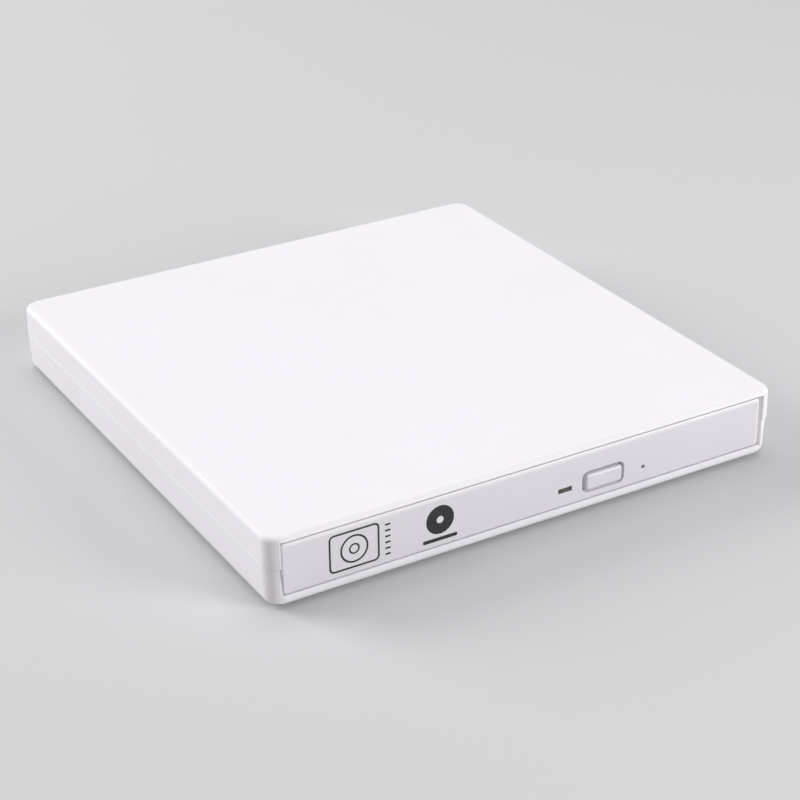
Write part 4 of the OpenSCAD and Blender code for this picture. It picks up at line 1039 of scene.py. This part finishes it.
@dataclass
class Enclosure(Assembly):
    """White two-part case with its screws and feet."""

    seat: Point = (-0.25, -0.12, 0.0)
    mouth_half: float = 65.5
    mouth_z: Pair = (3.3, 17.1)
    split: float = 10.3
    return_y: Pair = (-70.3, -66.0)
    return_thick: float = 1.1
    return_skin: float = 0.03
    return_nose: Pair = (0.2, 0.9)
    return_heel: Pair = (0.3, 0.4)
    return_rear: Pair = (0.4, 0.6)
    corner: Pair = (64.1, -66.8)
    corner_r: Pair = (4.15, 4.4)
    lip_x: Pair = (65.5, 65.25)
    lip_r: float = 0.5
    lip_end: float = 66.1
    lip_steps: int = 12

    def build(self) -> None:
        """Dresses the shells, the feet and the screws; the lower shell sits a little to the left in its lap."""
        self.soften("upper_shell", Palette.SHELL, Edge.BROAD)
        lower = self.soften("lower_shell", Palette.SHELL, Edge.BROAD)
        lower.data.transform(Matrix.Translation(Vector(self.seat) * MM))
        self.soften("rubber_feet", Palette.FOOT, Edge.WIDE, 40.0)
        self.soften("case_screws", Palette.SCREW, Edge.FINE)
        self.returns()

    def _lip(self, radius: float, start: float) -> List[Pair]:
        """Front of the right return, which runs on from the shell's round corner and turns into the opening.

        Args:
            radius: The corner's radius.
            start: Where it begins to turn, across.

        Returns:
            Its points in X and Y, from the opening outward.
        """
        (x, y), small = self.corner, self.lip_r
        first, last = (math.acos((end - x) / radius) for end in (start, self.lip_end))
        hub = (x + (radius - small) * math.cos(first), y - (radius - small) * math.sin(first))
        steps = [i / self.lip_steps for i in range(self.lip_steps + 1)]
        turn = [math.pi + (math.pi - first) * t for t in steps]
        run = [first + (last - first) * t for t in steps[1:]]
        near, far = small + self.return_skin, radius + self.return_skin
        return ([(hub[0] + near * math.cos(a), hub[1] + near * math.sin(a)) for a in turn]
                + [(x + far * math.cos(a), y - far * math.sin(a)) for a in run])

    def returns(self) -> None:
        """Turns the opening's two sides inward, behind the front wall of each shell."""
        near, far = self.return_y
        (nose_x, nose_y), (heel_x, heel_y) = self.return_nose, self.return_heel
        inner, outer = self.mouth_half - self.return_skin, self.mouth_half + self.return_thick
        tail = [(outer, near + nose_y), (outer, far - self.return_rear[1]), (outer - self.return_rear[0], far)]
        plain = [(inner, near), (inner + nose_x, near), *tail, (inner + heel_x, far), (inner, far - heel_y)]
        halves = ((self.mouth_z[0], self.split, Vector(self.seat)), (self.split, self.mouth_z[1], Vector()))
        meshes = []
        for (low, high, seat), radius, start in zip(halves, self.corner_r, self.lip_x):
            lip = self._lip(radius, start)
            right = [*lip, *tail, (lip[0][0] + heel_x, far), (lip[0][0], far - heel_y)]
            for outline in (right, [(-x, y) for x, y in plain][::-1]):
                meshes.append(Workshop.prism(outline, low, high))
                meshes[-1].transform(Matrix.Translation(seat * MM))
        joined = Workshop.joined(meshes)
        Workshop.smooth(joined)
        self.add("mouth_returns", joined, Palette.RETURN, "case", self.slot_of("upper_shell"))


@dataclass
class FrontPanel(Assembly):
    """Bezel with the eject button, activity window, pinhole and plain printed marks."""

    face: float = -70.7
    film: float = 0.02
    film_root: float = 0.01
    ends: Pair = (-62.5, 61.5)
    reach: Pair = (-0.33, 0.55)
    crest: Pair = (15.2, 16.05)
    drop: float = -0.1
    corner_steps: int = 8
    ring_steps: int = 72
    sign: Pair = (-47.6, 10.0)
    sign_frame: Tuple[Point, Point] = ((12.6, 9.6, 1.3), (11.7, 8.7, 0.9))
    sign_rings: Tuple[Pair, Pair] = ((3.5, 3.05), (1.35, 0.95))
    tick_start: Pair = (-39.2, 6.0)
    tick_size: Point = (1.4, 0.45, 0.2)
    tick_pitch: float = 1.5
    tick_count: int = 6
    disc: Pair = (-25.8, 10.5)
    disc_r: Pair = (3.6, 0.9)
    bar_z: float = 5.6
    bar_size: Point = (9.0, 0.9, 0.44)

    def build(self) -> None:
        """Dresses the bezel and prints its marks."""
        self.widen(self.soften("bezel", Palette.BEZEL, Edge.SMALL).data)
        self.soften("eject_button", Palette.BEZEL, Edge.SLIGHT)
        self.soften("light_pipe", Palette.PIPE, Edge.HAIR)
        self.coat(Palette.LAMP, "activity_led")
        self.coat(Palette.STEEL, "eject_switch")
        self.coat(Palette.BLACK, "switch_actuator")
        self.coat(Palette.BOARD, "tray_board")
        self.marks()

    def widen(self, mesh: Mesh) -> None:
        """Draws out the bezel's two ends to their place in the opening, and lowers its upper edge.

        Args:
            mesh: The bezel's mesh, changed in place.
        """
        for vertex in mesh.vertices:
            if vertex.co.x < self.ends[0] * MM:
                vertex.co.x += self.reach[0] * MM
            elif vertex.co.x > self.ends[1] * MM:
                vertex.co.x += self.reach[1] * MM
            rise = (vertex.co.z / MM - self.crest[0]) / (self.crest[1] - self.crest[0])
            vertex.co.z += self.drop * MM * min(max(rise, 0.0), 1.0)

    def _flat(self, shape: bmesh.types.BMesh, outer: Outline, inner: Optional[Outline] = None) -> None:
        """Lays one ink form on the bezel's face.

        Args:
            shape: Mesh that takes the form.
            outer: Outline in X and Z, in millimetres, clockwise from the front.
            inner: Outline of its hole, with as many points.
        """
        depths = ((self.face - self.film) * MM, (self.face + self.film_root) * MM)
        loops = [[shape.verts.new((x * MM, y, z * MM)) for x, z in line]
                 for line in (outer, inner) if line for y in depths]
        Workshop.band(shape, loops[0], loops[1])
        if inner:
            for first, second in ((3, 2), (2, 0), (1, 3)):
                Workshop.band(shape, loops[first], loops[second])
        else:
            shape.faces.new(loops[0][::-1])
            shape.faces.new(loops[1])

    def _round(self, x: float, z: float, radius: float) -> List[Pair]:
        """Points of a circle on the face, about its middle across and up."""
        turns = [2 * math.pi * i / self.ring_steps for i in range(self.ring_steps)]
        return [(x + radius * math.cos(a), z + radius * math.sin(a)) for a in turns]

    def _panel(self, x: float, z: float, w: float, h: float, r: float) -> List[Pair]:
        """Points of a rectangle with round corners on the face.

        Args:
            x: Middle across.
            z: Middle up.
            w: Width.
            h: Height.
            r: Corner radius.

        Returns:
            The points.
        """
        points = []
        for quarter, (sx, sz) in enumerate(((1, 1), (-1, 1), (-1, -1), (1, -1))):
            across, up = x + sx * (w / 2 - r), z + sz * (h / 2 - r)
            for i in range(self.corner_steps + 1):
                a = math.pi / 2 * (quarter + i / self.corner_steps)
                points.append((across + r * math.cos(a), up + r * math.sin(a)))
        return points

    def marks(self) -> None:
        """Prints a framed disc pictogram, a column of ticks, and a solid disc over a bar."""
        shape = bmesh.new()
        self._flat(shape, *(self._panel(*self.sign, *size) for size in self.sign_frame))
        for radii in self.sign_rings:
            self._flat(shape, *(self._round(*self.sign, radius) for radius in radii))
        x, z = self.tick_start
        for i in range(self.tick_count):
            self._flat(shape, self._panel(x, z + self.tick_pitch * i, *self.tick_size))
        self._flat(shape, *(self._round(*self.disc, radius) for radius in self.disc_r))
        self._flat(shape, self._panel(self.disc[0], self.bar_z, *self.bar_size))
        bmesh.ops.recalc_face_normals(shape, faces=shape.faces)
        self.add("panel_marks", Workshop.baked(shape, "panel_marks"), Palette.INK, "tray", "bezel")


@dataclass
class Chassis(Assembly):
    """Plated steel chassis with its guides, boards, ribbon and ejector."""

    origin: Point = (-0.7, -67.15, 3.85)
    ribbon_x: Pair = (-20.0, 6.0)
    ribbon_thick: float = 0.2
    ribbon_floor: float = 0.6
    ribbon_roof: float = 2.2
    ribbon_front: float = 12.0
    ribbon_end: float = 77.05
    ribbon_rear: float = 100.05
    ribbon_plug: float = 3.9
    ribbon_ramp: Tuple[float, ...] = (3.0, -1.0, -4.0, -5.0)
    ribbon_steps: Tuple[int, ...] = (16, 14, 40)
    spring_place: Point = (-52.8, 123.0, 4.0)
    spring_length: float = 5.5
    spring_radius: float = 1.2
    spring_wire: float = 0.15
    spring_turns: float = 7.0

    def build(self) -> None:
        """Dresses the chassis and what is screwed to it."""
        self.soften("chassis_base", Palette.STEEL, Edge.SLIGHT)
        self.soften("chassis_cover", Palette.COVER, Edge.SLIGHT)
        for side in ("left", "right"):
            self.soften(side + "_guide", Palette.SLIDE, Edge.PLAIN)
            self.soften(side + "_rail", Palette.RAIL, Edge.SLIGHT)
        self.coat(Palette.SCREW, "chassis_screws")
        self.coat(Palette.CHROME, "latch_post")
        self.coat(Palette.BOARD, "main_board")
        self.coat(Palette.BLACK, "drive_socket", "controller_chip")
        self.coat(Palette.IVORY, "ribbon_connector", "eject_plunger")
        self.coat(Palette.SLIDE, "eject_housing")
        self.ribbon()
        self.spring()

    def ribbon(self) -> None:
        """Lays the film cable: a tail that stays on the floor, and a leg that is not attached to any body."""
        thick, front, end = self.ribbon_thick, self.ribbon_front, self.ribbon_end
        low, high = self.ribbon_floor + thick / 2, self.ribbon_roof - thick / 2
        plug, slope, foot, flat = (self.ribbon_rear + run for run in self.ribbon_ramp)
        flat_steps, bend_steps, leg_steps = self.ribbon_steps
        tail = [(plug, self.ribbon_plug), (slope, self.ribbon_plug), (foot, low)]
        tail += [(flat - i * (flat - front) / flat_steps, low) for i in range(flat_steps)]
        middle, bend = (low + high) / 2, (high - low) / 2
        turns = [math.pi * (1.5 - i / bend_steps) for i in range(bend_steps + 1)]
        tail += [(front + bend * math.cos(a), middle + bend * math.sin(a)) for a in turns]
        leg = [(front + (end - front) * i / leg_steps, high) for i in range(leg_steps + 1)]
        shift = Vector(self.origin)
        for name, path in (("ribbon_tail", tail), ("ribbon_leg", leg)):
            mesh = Workshop.strip(path, self.ribbon_x, thick)
            mesh.transform(Matrix.Translation(shift * MM))
            mesh.materials.append(Palette.RIBBON.value.material())
            piece = Workshop.placed(name, mesh)
            if path is tail:
                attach(piece, "case")
            else:
                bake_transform(piece)
            self.enter(piece, self.slot_of("flex_ribbon"), ("flex_ribbon",))

    def spring(self) -> None:
        """Winds the ejector's spring, one end on the housing and one on the plunger."""
        length = self.spring_length * MM
        mesh = Thread(Palette.CHROME).run(bpy.data.meshes.new("seed"), {
            "Radius": self.spring_radius * MM, "Turns": self.spring_turns,
            "Length": length, "Wire": self.spring_wire * MM,
        })
        rear = (Vector(self.origin) + Vector(self.spring_place)) * MM
        mesh.transform(Matrix.Translation(rear) @ Matrix.Rotation(RIGHT_ANGLE, 4, "X"))
        piece = Workshop.placed("ejector_spring", mesh)
        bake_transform(piece)
        self.enter(piece, self.slot_of("eject_spring"), ("eject_spring",))


@dataclass
class TrayDeck(Assembly):
    """Disc tray with its under plate."""

    def build(self) -> None:
        """Dresses the tray and its plate."""
        self.soften("tray", Palette.DECK, Edge.BROAD)
        self.soften("under_plate", Palette.COVER, Edge.FINE)
        self.coat(Palette.SCREW, "under_plate_screws")


@dataclass
class SpindleUnit(Assembly):
    """Spindle motor, turntable and claws."""

    def build(self) -> None:
        """Dresses the motor and the turntable."""
        self.coat(Palette.COPPER, "spindle_stator")
        self.soften("spindle_rotor", Palette.CHROME, Edge.PLAIN)
        self.soften("turntable", Palette.TABLE, Edge.PLAIN)
        self.soften("turntable_pad", Palette.PAD, Edge.SMALL)
        for claw in ("claw_a", "claw_b", "claw_c"):
            self.soften(claw, Palette.CLAW, Edge.SMALL, 30.0)


@dataclass
class SledUnit(Assembly):
    """Traverse frame with its rods, lead screw, motor and optical pickup."""

    angle: float = 225.0
    axis: Point = (-0.7, -6.15, 3.85)
    screw_v: float = 17.5
    screw_z: float = 5.7
    screw_pitch: float = 3.0
    screw_span: Pair = (13.4, 61.7)
    screw_shaft: Pair = (5.0, 64.2)
    journal_r: float = 0.95
    core_r: float = 1.0
    shoulder: float = 0.2
    thread_r: float = 1.02
    thread_wire: float = 0.17
    thread_inset: float = 0.4

    def build(self) -> None:
        """Dresses the frame, the drive and the pickup."""
        self.soften("traverse_frame", Palette.STEEL, Edge.SMALL)
        self.soften("shield_plate", Palette.SHIELD, Edge.FINE)
        self.coat(Palette.PAD, "dampers")
        self.coat(Palette.SCREW, "damper_screws")
        self.coat(Palette.CHROME, "main_rod", "sub_rod")
        self.lead()
        self.soften("sled_motor", Palette.STEEL, Edge.PLAIN)
        self.soften("pickup_body", Palette.ALLOY, Edge.BROAD)
        self.coat(Palette.CLAW, "sled_nut")
        self.soften("lens_holder", Palette.BLACK, Edge.SMALL)
        self.coat(Palette.LENS, "objective_lens")

    def lead(self) -> None:
        """Turns the lead screw: a core with its journals, and the thread wound on it."""
        (start, end), (rear, tip) = self.screw_span, self.screw_shaft
        journal, radius = self.journal_r, self.core_r
        core = Workshop.lathe([
            (0, rear), (journal, rear), (journal, start), (radius, start + self.shoulder),
            (radius, end - self.shoulder), (journal, end), (journal, tip), (0, tip),
        ])
        length = end - start - 2 * self.thread_inset
        thread = Thread(Palette.CHROME).run(bpy.data.meshes.new("seed"), {
            "Radius": self.thread_r * MM, "Turns": length / self.screw_pitch,
            "Length": length * MM, "Wire": self.thread_wire * MM,
        })
        thread.transform(Matrix.Translation((0.0, 0.0, (start + self.thread_inset) * MM)))
        mesh = Workshop.joined((core, thread))
        along = Matrix.Translation(Vector(self.axis) * MM) @ Matrix.Rotation(math.radians(self.angle), 4, "Z")
        beside = Matrix.Translation((0.0, self.screw_v * MM, self.screw_z * MM))
        mesh.transform(along @ beside @ Matrix.Rotation(RIGHT_ANGLE, 4, "Y"))
        Workshop.smooth(mesh)
        slot = self.slot_of("lead_screw")
        self.add("lead_screw_form", mesh, Palette.CHROME, "lead_screw", slot, ("lead_screw",))


@dataclass
class LatchUnit(Assembly):
    """Latch lever with its solenoid."""

    def build(self) -> None:
        """Dresses the lever, the coil and its plunger."""
        self.soften("latch_lever", Palette.CLAW, Edge.SMALL)
        self.coat(Palette.COPPER, "solenoid")
        self.coat(Palette.CHROME, "solenoid_plunger")


@dataclass
class RearPanel(Assembly):
    """Bridge board with the data and power sockets."""

    tongue: Point = (-2.0, 65.0, 9.35)
    contact_count: int = 5
    contact_pitch: float = 0.8
    contact_half: float = 0.15
    contact_tip: float = 0.4
    contact_y: Pair = (4.4, 4.8)
    contact_z: Pair = (-0.07, 0.03)

    def build(self) -> None:
        """Dresses the board and its sockets."""
        self.coat(Palette.BOARD, "bridge_board")
        self.coat(Palette.BLACK, "bridge_plug", "bridge_chip")
        self.soften("usb_socket", Palette.STEEL, Edge.FINE, 40.0)
        self.soften("usb_tongue", Palette.BLACK, Edge.FINE, 40.0)
        self.soften("power_jack", Palette.BLACK, Edge.SMALL)
        self.soften("power_jack_pin", Palette.CHROME, Edge.SMALL)
        self.contacts()

    def contacts(self) -> None:
        """Sets the row of gold contacts on the data socket's tongue."""
        half, (shoulder, end) = self.contact_half, self.contact_y
        tip = half * self.contact_tip
        outline = [(-half, 0.0), (half, 0.0), (half, shoulder), (tip, end), (-tip, end), (-half, shoulder)]
        mesh = Repeat(Palette.GOLD).run(Workshop.prism(outline, *self.contact_z), {
            "Count": self.contact_count, "Step": (self.contact_pitch * MM, 0.0, 0.0),
        })
        first = Vector(self.tongue) - Vector((self.contact_pitch * (self.contact_count - 1) / 2, 0.0, 0.0))
        mesh.transform(Matrix.Translation(first * MM))
        self.add("socket_contacts", mesh, Palette.GOLD, "case", "gold")


@dataclass
class Studio:
    """Camera at the photograph's place, pale floor and soft light."""

    place: Point = (-0.230795, -0.406743, 0.244712)
    right: Point = (0.86202612, -0.50675407, -0.01054909)
    up: Point = (0.24154898, 0.39241751, 0.88750357)
    back: Point = (-0.4456064, -0.76759938, 0.46068007)
    lens: float = 92.88
    sensor: float = 36.0
    nearest: float = 0.01
    floor_half: float = 4.0
    floor_tone: Colour = (0.62, 0.615, 0.625)
    floor_drift: float = 0.96
    sky: float = 0.26
    sky_tone: Colour = (0.99, 0.985, 1.0)
    lamps: Tuple[Tuple[str, Point, float, float], ...] = (
        ("lamp_top", (0.15, 0.3, 1.5), 1.4, 10.8),
        ("lamp_left", (-1.1, 1.3, 0.75), 1.0, 28.5),
        ("lamp_front", (0.56, -0.83, 0.34), 0.45, 7.2),
    )

    def build(self) -> None:
        """Sets the camera, the floor and the lamps."""
        scene = bpy.context.scene
        scene.view_settings.view_transform = "Standard"
        self._camera(scene)
        self._floor()
        self._world(scene)
        for lamp in self.lamps:
            self._lamp(*lamp)

    def _camera(self, scene: bpy.types.Scene) -> None:
        """Sets the camera from its three axes.

        Args:
            scene: The scene.
        """
        data = bpy.data.cameras.new("camera")
        data.lens = self.lens
        data.sensor_width = self.sensor
        data.clip_start = self.nearest
        camera = Workshop.placed("camera", data)
        axes = Matrix((self.right, self.up, self.back)).transposed().to_4x4()
        camera.matrix_world = Matrix.Translation(self.place) @ axes
        scene.camera = camera

    def _floor(self) -> None:
        """Lays a pale matt floor under the feet."""
        shade = Shade("pale_floor")
        drift = shade.noise(0.6, 2.0)
        tone = shade.mix(drift, self.floor_tone, tuple(self.floor_drift * c for c in self.floor_tone))
        material = shade.surface({
            "Base Color": tone, "Roughness": 0.85 + drift * 0.05, "Specular IOR Level": 0.2,
        })
        half = self.floor_half
        corners = [(-half, -half, 0.0), (half, -half, 0.0), (half, half, 0.0), (-half, half, 0.0)]
        mesh = bpy.data.meshes.new("floor")
        mesh.from_pydata(corners, [], [(0, 1, 2, 3)])
        mesh.materials.append(material)
        floor = Workshop.placed("floor", mesh)

    def _world(self, scene: bpy.types.Scene) -> None:
        """Fills the room with even light.

        Args:
            scene: The scene.
        """
        world = bpy.data.worlds.new("room")
        world.use_nodes = True
        world.node_tree.nodes.clear()
        net = Net(world.node_tree)
        glow = net.out("ShaderNodeBackground", None, {"Color": self.sky_tone, "Strength": self.sky})
        net.node("ShaderNodeOutputWorld", None, {"Surface": glow})
        scene.world = world

    @staticmethod
    def _lamp(name: str, place: Point, size: float, power: float) -> None:
        """Hangs one soft box that faces the drive.

        Args:
            name: Name of the lamp.
            place: Where it hangs.
            size: Side of the box.
            power: Its power in watts.
        """
        data = bpy.data.lights.new(name, "AREA")
        data.shape = "SQUARE"
        data.size = size
        data.energy = power
        lamp = Workshop.placed(name, data)
        lamp.location = place
        lamp.rotation_euler = (-Vector(place)).to_track_quat("-Z", "Y").to_euler()


def main() -> None:
    """Builds the studio and every sub-assembly."""
    logging.basicConfig(level=logging.INFO, format="%(message)s")
    Studio().build()
    for unit in (Enclosure, FrontPanel, Chassis, TrayDeck, SpindleUnit, SledUnit, LatchUnit, RearPanel):
        unit().build()


if __name__ == "__main__":
    main()
